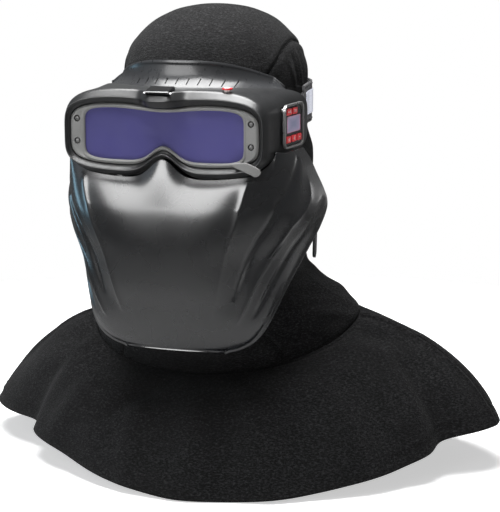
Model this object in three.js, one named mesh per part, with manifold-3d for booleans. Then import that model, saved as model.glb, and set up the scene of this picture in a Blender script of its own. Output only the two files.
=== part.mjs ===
// Welding mask: auto-darkening goggles with a clip-on face shield, worn over a knit hood with a shoulder cape.
// Millimetres, +Z up, the mask looks along -Y and the wearer's left is +X.
// The origin is inside the crown, where the hood rests on the top of the wearer's head.
import * as THREE from "three";
import { mergeVertices } from "three/addons/utils/BufferGeometryUtils.js";
import Module from "manifold-3d";

const wasm = await Module();
wasm.setup();

// ---- driving dimensions ----
const FABRIC = 2.4; // thickness of the knit, lining included
const WALL = 2.4; // thickness of the moulded plastic walls
const GAP = 0.4; // least gap between neighbouring pieces
const DEG = Math.PI / 180;

// The hood over the head: half an ellipse in front, half a circle set back behind, under a domed crown.
const HEAD = { half: 79, front: 97, back: 79, setBack: 8, top: -4.8, wall: -72, power: 2.2, bottom: -74.5 };
// The opening for the face, as half an angle round the head, and the height of its lower edge.
const FACE = { half: 38, bottomShare: 0.625 };
// The seam between the hood and the cape.
const COLLAR = { half: 126, front: 86, back: 54, y: 30, side: -289.5, frontDrop: 38.5, backRise: 8 };
// The lower edge of the cape. A power under 2 pinches its front corners in.
const HEM = { x: 13, y: 20, half: 233, front: 171, back: 135, power: 1.5, side: -380, frontDrop: 32, turn: 15 };
const ROLL = 0.045; // the collar sits a little lower on the wearer's right

// Outlines seen from the front. Each is a rounded box with a nose arch below and a slight dip above.
const WINDOW = { half: 69, top: -85, bottom: -128, power: 7, arch: 12.5, archWidth: 14, dip: 3, dipWidth: 26 };
const FRAME = { half: 82, top: -81, bottom: -132, power: 4.5, arch: 13, archWidth: 15, dip: 3, dipWidth: 26 };
const RIM = { half: 88.3, top: -68.5, bottom: -142.5, power: 4, arch: 16, archWidth: 16.5, dip: 1, dipWidth: 30 };
const REAR = { half: 94.5, top: -69.6, bottom: -132, power: 5, arch: 20, archWidth: 19, dip: 0, dipWidth: 30 };
const CUSHION = { half: 71, top: -78, bottom: -124, power: 4, arch: 22, archWidth: 18, dip: 0, dipWidth: 30 };
const FRONT_Y = -135; // front face of the goggles' rim
const REAR_Y = { middle: -108, reach: 73, power: 2.2 }; // the rear edge curves back round the temples

// ---- shape helpers ----

const smooth = (t) => t * t * (3 - 2 * t);
const clamp01 = (t) => Math.min(1, Math.max(0, t));
const mix = (a, b, t) => a + (b - a) * t;

// A point of an outline, grown outwards by a margin, at an angle from +X towards +Z.
function outlinePoint(outline, angle, grow = 0) {
  const { half, top, bottom, power, arch, archWidth, dip, dipWidth } = outline;
  const c = Math.cos(angle);
  const s = Math.sin(angle);
  const r = (Math.abs(c) ** power + Math.abs(s) ** power) ** (-1 / power);
  const x = (half + grow) * r * c;
  let z = (top + bottom) / 2 + ((top - bottom) / 2 + grow) * r * s;
  if (s < 0) z += arch * Math.exp(-((x / archWidth) ** 2));
  else z -= dip * Math.exp(-((x / dipWidth) ** 2));
  return { x, z };
}

// Even steps round an outline, closer together above and below the nose, where it bends most.
function outlineAngles(steps) {
  return Array.from({ length: steps }, (_, i) => {
    const turn = (2 * Math.PI * (i + 0.5)) / steps;
    return turn + 0.25 * Math.sin(2 * turn);
  });
}

// A triangle mesh from a flat list of corners, turned to face outwards.
function closedGeometry(corners) {
  const geometry = new THREE.BufferGeometry();
  geometry.setAttribute("position", new THREE.Float32BufferAttribute(corners, 3));
  const merged = mergeVertices(geometry, 1e-3);
  const index = Array.from(merged.index.array);
  const kept = [];
  const p = [new THREE.Vector3(), new THREE.Vector3(), new THREE.Vector3()];
  let volume = 0;
  for (let i = 0; i < index.length; i += 3) {
    const [a, b, c] = index.slice(i, i + 3);
    if (a === b || b === c || a === c) continue;
    kept.push(a, b, c);
    [a, b, c].forEach((v, k) => p[k].fromBufferAttribute(merged.attributes.position, v));
    volume += p[0].dot(p[1].cross(p[2]));
  }
  if (volume < 0) kept.reverse();
  merged.setIndex(kept);
  merged.computeVertexNormals();
  return merged;
}

// A solid swept through closed sections of equal length. An open sweep is capped by pairing each section's two halves.
function sweep(sections, wrap = false) {
  const corners = [];
  const tri = (a, b, c) => [a, b, c].forEach((p) => corners.push(p.x, p.y, p.z));
  const last = wrap ? sections.length : sections.length - 1;
  for (let i = 0; i < last; i++) {
    const a = sections[i];
    const b = sections[(i + 1) % sections.length];
    a.forEach((_, j) => {
      const k = (j + 1) % a.length;
      tri(a[j], b[j], b[k]);
      tri(a[j], b[k], a[k]);
    });
  }
  if (!wrap) {
    for (const [s, flip] of [[sections[0], false], [sections.at(-1), true]]) {
      for (let k = 0; k + 1 < s.length / 2; k++) {
        const [a, b, c, d] = [s[k], s[k + 1], s[s.length - 2 - k], s[s.length - 1 - k]];
        if (flip) (tri(a, c, b), tri(a, d, c));
        else (tri(a, b, c), tri(a, c, d));
      }
    }
  }
  return closedGeometry(corners);
}

// A shell between an outer and an inner surface, each a function of (u, v) from 0 to 1.
function shell(outer, inner, uSteps, vSteps, wrap = false) {
  const sections = [];
  for (let i = 0; i < uSteps + (wrap ? 0 : 1); i++) {
    const u = i / uSteps;
    const section = [];
    for (let j = 0; j <= vSteps; j++) section.push(outer(u, j / vSteps));
    for (let j = vSteps; j >= 0; j--) section.push(inner(u, j / vSteps));
    sections.push(section);
  }
  return sweep(sections, wrap);
}

// A ring whose section is a closed list of [outline, grow, y] corners; y may be a function of the point.
function outlineRing(section, steps) {
  const sections = outlineAngles(steps).map((angle) => section.map(([outline, grow, y]) => {
    const { x, z } = outlinePoint(outline, angle, grow);
    return new THREE.Vector3(x, typeof y === "function" ? y(x, z) : y, z);
  }));
  return sweep(sections, true);
}

// A flat plate of an outline between two planes of constant y.
function outlinePlate(outline, grow, y0, y1, steps = 60) {
  const points = outlineAngles(steps).map((angle) => {
    const { x, z } = outlinePoint(outline, angle, grow);
    return new THREE.Vector2(x, z);
  });
  return plate(new THREE.Shape(points), y0, y1);
}

// A shape drawn in X and Z, thick between two planes of constant y.
function plate(shape, y0, y1) {
  const depth = Math.abs(y1 - y0);
  const geometry = new THREE.ExtrudeGeometry(shape, { depth, bevelEnabled: false, curveSegments: 4 });
  geometry.rotateX(Math.PI / 2);
  return geometry.translate(0, Math.max(y0, y1), 0);
}

// Turns a shape drawn in Y and Z, and extruded along its own depth, so that the depth runs along +X.
const ACROSS = new THREE.Matrix4().makeBasis(
  new THREE.Vector3(0, 1, 0), new THREE.Vector3(0, 0, 1), new THREE.Vector3(1, 0, 0));

function roundedBox(width, height, radius) {
  const shape = new THREE.Shape();
  const [w, h, r] = [width / 2, height / 2, radius];
  shape.absarc(w - r, h - r, r, 0, Math.PI / 2);
  shape.absarc(r - w, h - r, r, Math.PI / 2, Math.PI);
  shape.absarc(r - w, r - h, r, Math.PI, 1.5 * Math.PI);
  shape.absarc(w - r, r - h, r, 1.5 * Math.PI, 2 * Math.PI);
  return shape;
}

// A rounded block standing on the local XY plane, its top towards +Z.
function pad(width, height, radius, depth) {
  return new THREE.ExtrudeGeometry(roundedBox(width, height, radius), {
    depth, bevelEnabled: false, curveSegments: 2,
  });
}

function disc(radius, depth, sides = 20) {
  return new THREE.CylinderGeometry(radius, radius, depth, sides);
}

function toSolid(geometry) {
  const bare = geometry.index ? geometry.toNonIndexed() : geometry.clone();
  for (const name of Object.keys(bare.attributes)) if (name !== "position") bare.deleteAttribute(name);
  const merged = mergeVertices(bare, 1e-3);
  return new wasm.Manifold(new wasm.Mesh({
    numProp: 3,
    vertProperties: merged.attributes.position.array,
    triVerts: new Uint32Array(merged.index.array),
  }));
}

function toGeometry(solid) {
  const mesh = solid.getMesh();
  const positions = new Float32Array(mesh.numVert * 3);
  for (let i = 0; i < mesh.numVert; i++) {
    positions.set(mesh.vertProperties.subarray(i * mesh.numProp, i * mesh.numProp + 3), i * 3);
  }
  const geometry = new THREE.BufferGeometry();
  geometry.setAttribute("position", new THREE.BufferAttribute(positions, 3));
  geometry.setIndex(new THREE.BufferAttribute(new Uint32Array(mesh.triVerts), 1));
  geometry.computeVertexNormals();
  return geometry;
}

const cut = (geometry, ...tools) =>
  toGeometry(tools.reduce((s, t) => s.subtract(toSolid(t)), toSolid(geometry)));
const join = (geometry, ...others) =>
  toGeometry(others.reduce((s, t) => s.add(toSolid(t)), toSolid(geometry)));
const common = (a, b) => toGeometry(toSolid(a).intersect(toSolid(b)));

// ---- materials ----

const material = (color, roughness, metalness = 0, extra = {}) =>
  new THREE.MeshStandardMaterial({ color, roughness, metalness, ...extra });
const knit = material(0x1b1b1c, 0.95);
const elastic = material(0x3a3a3b, 0.85);
const reflective = material(0xd9dcea, 0.5);
const shellPlastic = material(0x3c3d3e, 0.5);
const framePlastic = material(0x84847f, 0.45);
const glossPlastic = material(0x232427, 0.22);
const sealRubber = material(0x2e2f30, 0.4);
const tintedLens = material(0x4a4784, 0.12);
const clearPlastic = material(0xb9bdd0, 0.15);
const blackPlastic = material(0x111112, 0.3);
const silverPlastic = material(0xa9aaa6, 0.3, 0.6);
const steel = material(0xd0d2d4, 0.25, 1);
const redPlastic = material(0xc8242a, 0.35);
const whitePlastic = material(0xf1dede, 0.35);
const boardGreen = material(0x1d5a38, 0.6);

const mask = new THREE.Group();
mask.position.z = FABRIC - HEAD.top; // puts the origin on the inside of the crown

function add(name, geometry, finish, parent = mask) {
  const mesh = new THREE.Mesh(geometry, finish);
  mesh.name = name;
  parent.add(mesh);
  return mesh;
}

// ---- hood ----

// A point round the head at an angle from the front towards the wearer's left.
function headPoint(angle, share, inset, z) {
  const c = Math.cos(angle);
  const x = (HEAD.half * share - inset) * Math.sin(angle);
  if (c > 0) return new THREE.Vector3(x, -(HEAD.front * share - inset) * c, z);
  const setBack = HEAD.setBack * share * smooth(clamp01(-4 * c));
  return new THREE.Vector3(x, setBack - (HEAD.back * share - inset) * c, z);
}

// The crown: a dome whose sides stand steeper than an ellipsoid's, carried down as a short wall.
function crownPoint(angle, v, inset) {
  const wallShare = 0.1;
  if (v > 1 - wallShare) {
    const t = (v - 1 + wallShare) / wallShare;
    return headPoint(angle, 1, inset, mix(HEAD.wall, HEAD.bottom, t));
  }
  const bend = (v / (1 - wallShare)) * (Math.PI / 2);
  const share = Math.sin(bend) ** (2 / HEAD.power);
  const rise = Math.max(0, Math.cos(bend)) ** (2 / HEAD.power);
  return headPoint(angle, share, inset * share, HEAD.wall + (HEAD.top - HEAD.wall - inset) * rise);
}

// The arched area that a side panel covers, seen from the side, as a bar across the whole head.
function earArch(shrink) {
  const { top, front, back } = { top: -36, front: -66, back: 76 };
  const shape = new THREE.Shape();
  shape.moveTo(front + shrink, -90);
  shape.bezierCurveTo(front + shrink, -60, front + 40, top - shrink, (front + back) / 2, top - shrink);
  shape.bezierCurveTo(back - 40, top - shrink, back - shrink, -60, back - shrink, -90);
  shape.closePath();
  const bar = new THREE.ExtrudeGeometry(shape, { depth: 300, bevelEnabled: false, curveSegments: 10 });
  return bar.applyMatrix4(ACROSS).translate(-150, 0, 0);
}

function makeCrown() {
  const turn = (u) => 2 * Math.PI * u;
  const dome = shell(
    (u, v) => crownPoint(turn(u), v, 0),
    (u, v) => crownPoint(turn(u), v, FABRIC),
    36, 8, true);
  add("crown_panel", cut(dome, earArch(0)), knit);
  const sides = common(dome, earArch(GAP));
  const leftHalf = new THREE.BoxGeometry(200, 400, 400).translate(101, 0, 0);
  const rightHalf = new THREE.BoxGeometry(200, 400, 400).translate(-101, 0, 0);
  add("side_panel_left", common(sides, leftHalf), knit);
  add("side_panel_right", common(sides, rightHalf), knit);
}

// A point of the seam between hood and cape.
function collarPoint(angle, inset) {
  const c = Math.cos(angle);
  const reach = c > 0 ? COLLAR.front : COLLAR.back;
  const x = (COLLAR.half - inset) * Math.sin(angle);
  const z = COLLAR.side - (c > 0 ? COLLAR.frontDrop : COLLAR.backRise) * c + ROLL * x;
  return new THREE.Vector3(x, COLLAR.y - (reach - inset) * c, z);
}

// The hood below the crown hangs straight, puffs out under the strap, and flares into the collar.
function neckPoint(angle, v, inset) {
  const top = headPoint(angle, 1, inset, HEAD.bottom - GAP);
  const low = collarPoint(angle, inset);
  const point = top.clone().lerp(low, smooth(clamp01((v - 0.76) / 0.24)));
  const side = clamp01((1 - Math.cos(angle)) * 1.4);
  const puff = 1 + 0.075 * side * smooth(clamp01((v - 0.17) / 0.11)) * (1 - v);
  point.x *= puff;
  point.y *= puff;
  point.z = mix(top.z, low.z, v);
  return point;
}

function neckPanel(from, to, v0, v1, uSteps, vSteps) {
  const at = (inset) => (u, v) => neckPoint(mix(from, to, u) * DEG, mix(v0, v1, v), inset);
  return shell(at(0), at(FABRIC), uSteps, vSteps);
}

function makeNeck() {
  const join0 = 0.5; // degrees left open at a seam
  add("neck_panel_left", neckPanel(FACE.half, 180 - join0, 0, 1, 12, 16), knit);
  add("neck_panel_right", neckPanel(-FACE.half, join0 - 180, 0, 1, 12, 16), knit);
  add("throat_panel", neckPanel(join0 - FACE.half, FACE.half - join0, FACE.bottomShare, 1, 8, 6), knit);
}

// The binding of the face opening: a soft cord round its edge.
function makeFaceBinding() {
  const half = (FACE.half - 2) * DEG;
  const inset = FABRIC / 2;
  const path = [];
  for (let k = 0; k <= 8; k++) path.push(neckPoint(-half, mix(0.03, FACE.bottomShare - 0.02, k / 8), inset));
  for (let k = 1; k < 6; k++) path.push(neckPoint(mix(-half, half, k / 6), FACE.bottomShare - 0.012, inset));
  for (let k = 8; k >= 0; k--) path.push(neckPoint(half, mix(0.03, FACE.bottomShare - 0.02, k / 8), inset));
  for (let k = 5; k > 0; k--) path.push(neckPoint(mix(-half, half, k / 6), 0.018, inset));
  const curve = new THREE.CatmullRomCurve3(path, true, "centripetal");
  const section = new THREE.Shape();
  section.absarc(0, 0, 1.5, 0, 2 * Math.PI);
  const cord = new THREE.ExtrudeGeometry(section, { steps: 52, extrudePath: curve, curveSegments: 3 });
  add("face_binding", cord, elastic);
}

// Hanging folds of the cape: centre and width in degrees from the front, and height as a share of the reach.
const FOLDS = [
  [69, 6, -0.02], [79, 5, -0.07], [93, 8, 0.035], [-57, 7, 0.01], [-67, 6, -0.07], [-86, 9, 0.03],
  [34, 13, 0.02], [10, 11, -0.015], [-26, 12, 0.02], [122, 12, -0.05], [146, 11, 0.05], [170, 10, -0.04],
  [-120, 12, -0.05], [-146, 11, 0.05], [-172, 9, -0.02],
];

function foldAt(angle) {
  const degrees = angle / DEG;
  return FOLDS.reduce((sum, [centre, width, height]) => {
    const away = ((degrees - centre + 540) % 360) - 180;
    return sum + height * Math.exp(-((away / width) ** 2));
  }, 0);
}

// A point of the hem at a true angle round its centre, measured from the front towards the wearer's left.
function hemPoint(angle, inset) {
  const c = Math.cos(angle);
  const s = Math.sin(angle);
  const [reach, power] = c > 0 ? [HEM.front, HEM.power] : [HEM.back, 2];
  const round = (Math.abs(s / HEM.half) ** power + Math.abs(c / reach) ** power) ** (-1 / power);
  const radius = round * (1 + foldAt(angle)) - inset;
  const lowest = Math.max(0, Math.cos(angle - HEM.turn * DEG)) ** 1.5;
  const lift = 8 * Math.exp(-(((angle / DEG - 86) / 13) ** 2));
  const z = HEM.side - HEM.frontDrop * lowest + lift - (c < 0 ? 14 * c * c : 0);
  return new THREE.Vector3(HEM.x + radius * s, HEM.y - radius * c, z + 0.02 * radius * s);
}

// The cape runs out over the shoulders, then turns down to its hem.
function capePoint(angle, v, inset) {
  const start = collarPoint(angle, inset);
  start.z -= GAP;
  const end = hemPoint(angle, inset);
  const out = (Math.sin(v * 0.62 * Math.PI) / Math.sin(0.62 * Math.PI)) * 0.25 + 0.75 * v;
  const c = Math.cos(angle);
  const steepness = 1.5 + 0.15 * Math.sin(angle) - (c < 0 ? 0.6 * Math.abs(c) : 0);
  return new THREE.Vector3(
    mix(start.x, end.x, out),
    mix(start.y, end.y, out),
    mix(start.z, end.z, v ** steepness) - inset * (1 - v) * 0.9);
}

function capePanel(from, to, uSteps) {
  const at = (inset) => (u, v) => capePoint(mix(from, to, u) * DEG, v, inset);
  return shell(at(0), at(FABRIC), uSteps, 6);
}

function makeCape() {
  const join0 = 0.12;
  add("cape_front", capePanel(join0 - 90, 90 - join0, 40), knit);
  add("cape_back", capePanel(90 + join0, 270 - join0, 26), knit);
}

function makeNeckTab() {
  const shape = new THREE.Shape();
  shape.moveTo(-6, 0);
  shape.lineTo(-6, -58);
  shape.absarc(0, -58, 6, Math.PI, 2 * Math.PI);
  shape.lineTo(6, 0);
  const strip = new THREE.ExtrudeGeometry(shape, { depth: 2, bevelEnabled: false, curveSegments: 5 });
  strip.rotateX(Math.PI / 2).rotateZ(-84 * DEG);
  add("neck_tab", strip.translate(88.6, 14, -166), elastic);
}

// ---- goggles ----

const rearY = (x) => REAR_Y.middle + REAR_Y.reach * (Math.abs(x) / REAR.half) ** REAR_Y.power;

// The wall at the temples flares slightly, so what is mounted there sits in a frame turned with it.
const TEMPLE = { x: 92.1, y: -76, z: -101, turn: 3.8 * DEG };
function templeFrame(side) {
  const frame = new THREE.Group();
  frame.position.set(side * TEMPLE.x, TEMPLE.y, TEMPLE.z);
  // Local +Z points out of the wall, local +Y up, and local +X to the rear on the wearer's left.
  frame.rotation.set(Math.PI / 2, side * (Math.PI / 2 - TEMPLE.turn), 0, "ZYX");
  frame.rotation.z = 0;
  const out = new THREE.Vector3(side * Math.cos(TEMPLE.turn), -Math.sin(TEMPLE.turn), 0);
  const up = new THREE.Vector3(0, 0, 1);
  const along = new THREE.Vector3().crossVectors(up, out);
  frame.quaternion.setFromRotationMatrix(new THREE.Matrix4().makeBasis(along, up, out));
  frame.updateMatrix();
  mask.add(frame);
  return frame;
}

const PANEL = { width: 45, height: 36.5, radius: 6, opening: 40, openingHeight: 32 };
const DOOR = { width: 38, height: 34, radius: 5, opening: 27, openingHeight: 26 };

function goggleHousing(leftTemple, rightTemple) {
  // The front edge swells forward over the nose to carry the latch.
  const swell = (y) => (x, z) => y - (z > -105 ? 12 * Math.exp(-((x / 16) ** 4)) : 0);
  const waist = { ...RIM, half: 91 };
  const waistY = (x) => mix(FRONT_Y + 8, rearY(x), 0.5);
  const ring = outlineRing([
    [FRAME, 0.5, FRONT_Y + 6.6],
    [FRAME, 0.5, swell(FRONT_Y + 1)],
    [FRAME, 3.5, swell(FRONT_Y - 1)],
    [RIM, -4, swell(FRONT_Y + 1)],
    [RIM, -1.2, swell(FRONT_Y + 3.4)],
    [RIM, 0, FRONT_Y + 8],
    [waist, 0, waistY],
    [REAR, 0, rearY],
    [REAR, -WALL, rearY],
    [waist, -WALL, waistY],
    [RIM, -WALL, FRONT_Y + 9.6],
    [FRAME, 1.5, FRONT_Y + 9],
    [WINDOW, 2.6, FRONT_Y + 9],
    [WINDOW, 2.6, FRONT_Y + 6.6],
  ], 64);
  // The latch lies in a seat over the nose, with a pocket for its tooth and an open seat for its pin.
  const seat = new THREE.BoxGeometry(2 * LATCH.half + 1.2, 30, 20).translate(0, LATCH.rearY - 14.6, LATCH.floor + 10);
  const pocket = new THREE.BoxGeometry(9, 4.4, 10).translate(0, LATCH.toothY, LATCH.floor + 0.6);
  const pinSeat = new THREE.BoxGeometry(25, 20, 20).translate(0, LATCH.pinY - 8.6, LATCH.pinZ + 8.8);
  const panelHole = pad(PANEL.opening, PANEL.openingHeight, 4, 20).translate(0, 0, -10);
  panelHole.applyMatrix4(leftTemple.matrix);
  const doorHole = pad(DOOR.opening, DOOR.openingHeight, 4, 20).translate(0, 0, -10);
  doorHole.applyMatrix4(rightTemple.matrix);
  const buttonHole = disc(3.1, 12, 16).rotateX(Math.PI / 2).translate(POWER.x, POWER.y, POWER.z);
  const clipHoles = [1, -1].map((side) =>
    new THREE.BoxGeometry(8, 10, 12).translate(side * CLIP.x, CLIP.y - 1.2, CLIP.top));
  return cut(ring, seat, pocket, pinSeat, panelHole, doorHole, buttonHole, ...clipHoles);
}

const POWER = { x: 54, y: -128.4, z: -68.9 };

function makePowerButton() {
  const ring = cut(disc(4.3, 1.4, 24), disc(3.1, 3, 20)).rotateX(Math.PI / 2);
  add("power_button_ring", ring.translate(POWER.x, POWER.y, POWER.z + 1.3), redPlastic);
  const button = disc(2.7, 4, 20).rotateX(Math.PI / 2);
  add("power_button", button.translate(POWER.x, POWER.y, POWER.z + 0.4), whitePlastic);
}

function makeLensFrame() {
  const back = FRONT_Y + 6.2;
  const ring = outlineRing([
    [WINDOW, 0, FRONT_Y + 1.6],
    [WINDOW, 1.2, FRONT_Y + 0.8],
    [FRAME, -1, FRONT_Y + 0.8],
    [FRAME, 0, FRONT_Y + 1.8],
    [FRAME, 0, back],
    [WINDOW, 3, back],
    [WINDOW, 3, FRONT_Y + 3.2],
    [WINDOW, 0, FRONT_Y + 3.2],
  ], 60);
  // The pull tab leaves the lower corner on the wearer's left and passes over the rim.
  const tab = new THREE.Shape();
  tab.moveTo(59, -126.5);
  tab.lineTo(73, -125.5);
  tab.lineTo(84, -130.5);
  tab.quadraticCurveTo(86, -133, 82.5, -136);
  tab.quadraticCurveTo(80, -138, 77, -135.5);
  tab.lineTo(63, -130);
  const root = new THREE.Shape([[59.5, -126.8], [66.5, -126.8], [66.5, -129.3], [62.5, -129.3]]
    .map(([x, z]) => new THREE.Vector2(x, z)));
  const holes = SENSORS.map(([x, z]) => disc(2.6, 30, 16).translate(x, FRONT_Y, z));
  const whole = join(ring, plate(tab, FRONT_Y - 3.8, FRONT_Y - 2), plate(root, FRONT_Y - 2.6, FRONT_Y + 2));
  add("lens_frame", cut(whole, ...holes), framePlastic);
  add("cover_lens", outlinePlate(WINDOW, 2.5, FRONT_Y + 3.6, FRONT_Y + 5.6), tintedLens);
}

const SENSORS = [[75.6, -95], [75.6, -113.5], [-75.6, -95], [-75.6, -113.5]];

function makeOptics() {
  SENSORS.forEach(([x, z], i) => {
    const sensor = new THREE.LatheGeometry([
      new THREE.Vector2(0, 0), new THREE.Vector2(2.1, 0), new THREE.Vector2(2.1, 4.2),
      new THREE.Vector2(1.5, 5.1), new THREE.Vector2(0, 5.5),
    ], 16);
    add(`arc_sensor_${i + 1}`, sensor.rotateX(Math.PI).translate(x, FRONT_Y + 6.2, z).clone(), blackPlastic);
  });
  add("filter_cartridge", outlinePlate(WINDOW, 4, FRONT_Y + 9.6, FRONT_Y + 15.6, 48), blackPlastic);
  const carrier = outlineRing([
    [{ ...WINDOW }, -1, FRONT_Y + 16.2],
    [{ ...FRAME, half: 84 }, 1, FRONT_Y + 16.2],
    [{ ...FRAME, half: 84 }, 1, FRONT_Y + 18.2],
    [{ ...WINDOW }, -1, FRONT_Y + 18.2],
  ], 48);
  const spots = [[78, -92], [78, -119], [-78, -92], [-78, -119]];
  const holes = spots.map(([x, z]) => disc(1.5, 20, 12).translate(x, FRONT_Y + 17, z));
  add("filter_carrier", cut(carrier, ...holes), blackPlastic);
  spots.forEach(([x, z], i) => {
    const screw = join(disc(2.4, 1.4, 14).translate(0, 0.7, 0), disc(1.1, 6, 12).translate(0, -2.9, 0));
    add(`carrier_screw_${i + 1}`, screw.translate(x, FRONT_Y + 18.6, z), steel);
  });
  add("inner_cover_lens", outlinePlate(WINDOW, 2, FRONT_Y + 18.6, FRONT_Y + 20.1, 48), clearPlastic);
}

// The latch turns about a steel pin at its front edge; its tooth drops into a pocket at the rear.
const LATCH = { half: 10, rearY: -130.8, toothY: -133.2, floor: -73.4, pinY: -144.6, pinZ: -71.4, pinRadius: 0.8 };

function makeLatch() {
  const { half, rearY: back, toothY, floor, pinY, pinZ, pinRadius } = LATCH;
  const outline = [
    [pinY - 1.6, pinZ - 0.6], [pinY - 1.9, pinZ + 1], [pinY - 0.6, pinZ + 2.2], [back - 1.6, -66.6], [back, -67.6],
    [back, floor + 0.5], [toothY + 1, floor + 0.5], [toothY + 0.8, floor - 3.2], [toothY - 1, floor - 3.2],
    [toothY - 1.1, floor + 0.5], [pinY + 1, floor + 0.5],
  ];
  const shape = new THREE.Shape(outline.map(([y, z]) => new THREE.Vector2(y, z)));
  const lever = new THREE.ExtrudeGeometry(shape, { depth: 2 * half, bevelEnabled: false });
  lever.applyMatrix4(ACROSS).translate(-half, 0, 0);
  const notches = [-1, 1].map((side) =>
    new THREE.BoxGeometry(6.6, 2.4, 4).translate(side * (half - 3.1), toothY - 0.1, floor - 2));
  const bore = disc(pinRadius + 0.3, 40, 12).rotateZ(Math.PI / 2).translate(0, pinY, pinZ);
  add("lens_latch", cut(lever, bore, ...notches), blackPlastic);
  const pin = disc(pinRadius, 2 * half + 4, 12).rotateZ(Math.PI / 2);
  add("latch_pin", pin.translate(0, pinY, pinZ), steel);
}

// The soft brow seal rises from the rear edge of the housing to the forehead.
function makeBrowSeal() {
  const headY = (x, z) => {
    const up = clamp01((z - HEAD.wall) / (HEAD.top - HEAD.wall));
    const share = (1 - up ** HEAD.power) ** (1 / HEAD.power);
    return -HEAD.front * share * Math.sqrt(1 - Math.min(0.999, Math.abs(x) / (HEAD.half * share)) ** 2);
  };
  const point = (u, v, inset) => {
    const s = 2 * u - 1;
    const x = 79 * s;
    const base = new THREE.Vector3(x, rearY(x) + 0.8, 0);
    const high = (REAR.top - REAR.bottom) / 2;
    base.z = REAR.top - high + high * (1 - (Math.abs(x) / REAR.half) ** REAR.power) ** (1 / REAR.power) - 0.2;
    const lipZ = -48 - 23 * Math.abs(s) ** 3;
    const lip = new THREE.Vector3(x * 0.99, Math.min(headY(x, lipZ) - 4.6, -50), lipZ);
    const p = base.lerp(lip, v);
    const hollow = 2.5 * Math.sin(Math.PI * v);
    p.y += hollow + inset;
    p.z -= 0.7 * hollow + 0.35 * inset;
    return p;
  };
  const sheet = shell((u, v) => point(u, v, 0), (u, v) => point(u, v, 2), 24, 4);
  const slits = [];
  for (let k = -4; k <= 5; k++) {
    const x = 9.4 * k + 1;
    const slit = new THREE.BoxGeometry(1.1, 20, 6.5).rotateY(-0.02 * k);
    slits.push(slit.translate(x, rearY(x) + 4, -64.6 - 0.0011 * x * x));
  }
  add("brow_seal", cut(sheet, ...slits), sealRubber);
  const faceY = (x) => -103 * Math.sqrt(1 - (x / 88) ** 2);
  const gasket = outlineRing([
    [REAR, -9, (x) => rearY(x) - 4.6],
    [CUSHION, 0.8, faceY],
    [CUSHION, -1.4, (x) => faceY(x) - 1.6],
    [REAR, -12, (x) => rearY(x) - 6.2],
  ], 56);
  add("face_gasket", gasket, sealRubber);
}

// The control panel on the wearer's left temple.
function makeControlPanel(frame) {
  const bezel = cut(
    pad(PANEL.width, PANEL.height, PANEL.radius, 2.4),
    pad(PANEL.opening + 1, PANEL.openingHeight + 1, 4, 10).translate(0, 0, -3));
  add("panel_bezel", bezel.translate(0, 0, 0.9), silverPlastic, frame);
  const { width: displayWidth, height: displayHeight } = DISPLAY;
  const holes = [pad(displayWidth + 0.8, displayHeight + 0.8, 1.5, 20).translate(DISPLAY.x, DISPLAY.y, -10)];
  for (const [, x, y, width, height] of BUTTONS) {
    holes.push(pad(width + 0.8, height + 0.8, 1.4, 20).translate(x, y, -10));
  }
  const fascia = pad(PANEL.opening - 0.8, PANEL.openingHeight - 0.8, 3.6, 3.4).translate(0, 0, -1.4);
  add("panel_fascia", cut(fascia, ...holes), blackPlastic, frame);
  const window = pad(displayWidth, displayHeight, 1.1, 2.6).translate(DISPLAY.x, DISPLAY.y, -1);
  add("display_window", window, clearPlastic, frame);
  for (const [name, x, y, width, height] of BUTTONS) {
    add(name, pad(width, height, 1.2, 3.9).translate(x, y, -1.1), redPlastic, frame);
  }
  add("control_board", pad(36, 27, 1.5, 1.6).translate(0, 0, -4.6), boardGreen, frame);
}

const DISPLAY = { x: 1.5, y: 1, width: 32, height: 13.6 };
// Name, place, width and height. Local x runs to the rear and y up.
const BUTTONS = [
  ["mode_button", -11.5, 12, 11, 5.4],
  ["set_button", 2, 12, 11, 5.4],
  ["select_button", -12.5, -10.9, 9.6, 5.4],
  ["up_button", 0, -10.9, 9.6, 5.4],
  ["down_button", 12.5, -10.9, 9.6, 5.4],
];

// The battery compartment on the wearer's right temple: a tray, two coin cells and a hinged door.
function makeBatteries(frame) {
  const tray = cut(
    pad(DOOR.opening - 1, DOOR.openingHeight - 1, 3.5, 9.6).translate(0, 0, -9.9),
    pad(DOOR.opening - 4, DOOR.openingHeight - 4, 3, 12).translate(0, 0, -8.4));
  add("battery_tray", tray, blackPlastic, frame);
  for (const i of [0, 1]) {
    const cell = disc(10, 3.2, 24).rotateX(Math.PI / 2).translate(0, 0, -6.4 + 3.6 * i);
    add(`battery_cell_${i + 1}`, cell, steel, frame);
  }
  const door = join(
    pad(DOOR.width, DOOR.height, DOOR.radius, 2.2).translate(0, 0, 1),
    disc(1.6, DOOR.width - 10, 14).rotateZ(Math.PI / 2).translate(0, -DOOR.height / 2 - 0.6, 2.1),
    new THREE.BoxGeometry(18, 4, 3.4).translate(0, DOOR.height / 2 + 1, 2.4));
  const bore = disc(0.9, 60, 12).rotateZ(Math.PI / 2).translate(0, -DOOR.height / 2 - 0.6, 2.1);
  add("battery_door", cut(door, bore), shellPlastic, frame);
  const pin = disc(0.6, DOOR.width - 4, 12).rotateZ(Math.PI / 2);
  add("door_pin", pin.translate(0, -DOOR.height / 2 - 0.6, 2.1), steel, frame);
}

// ---- face shield ----

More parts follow.
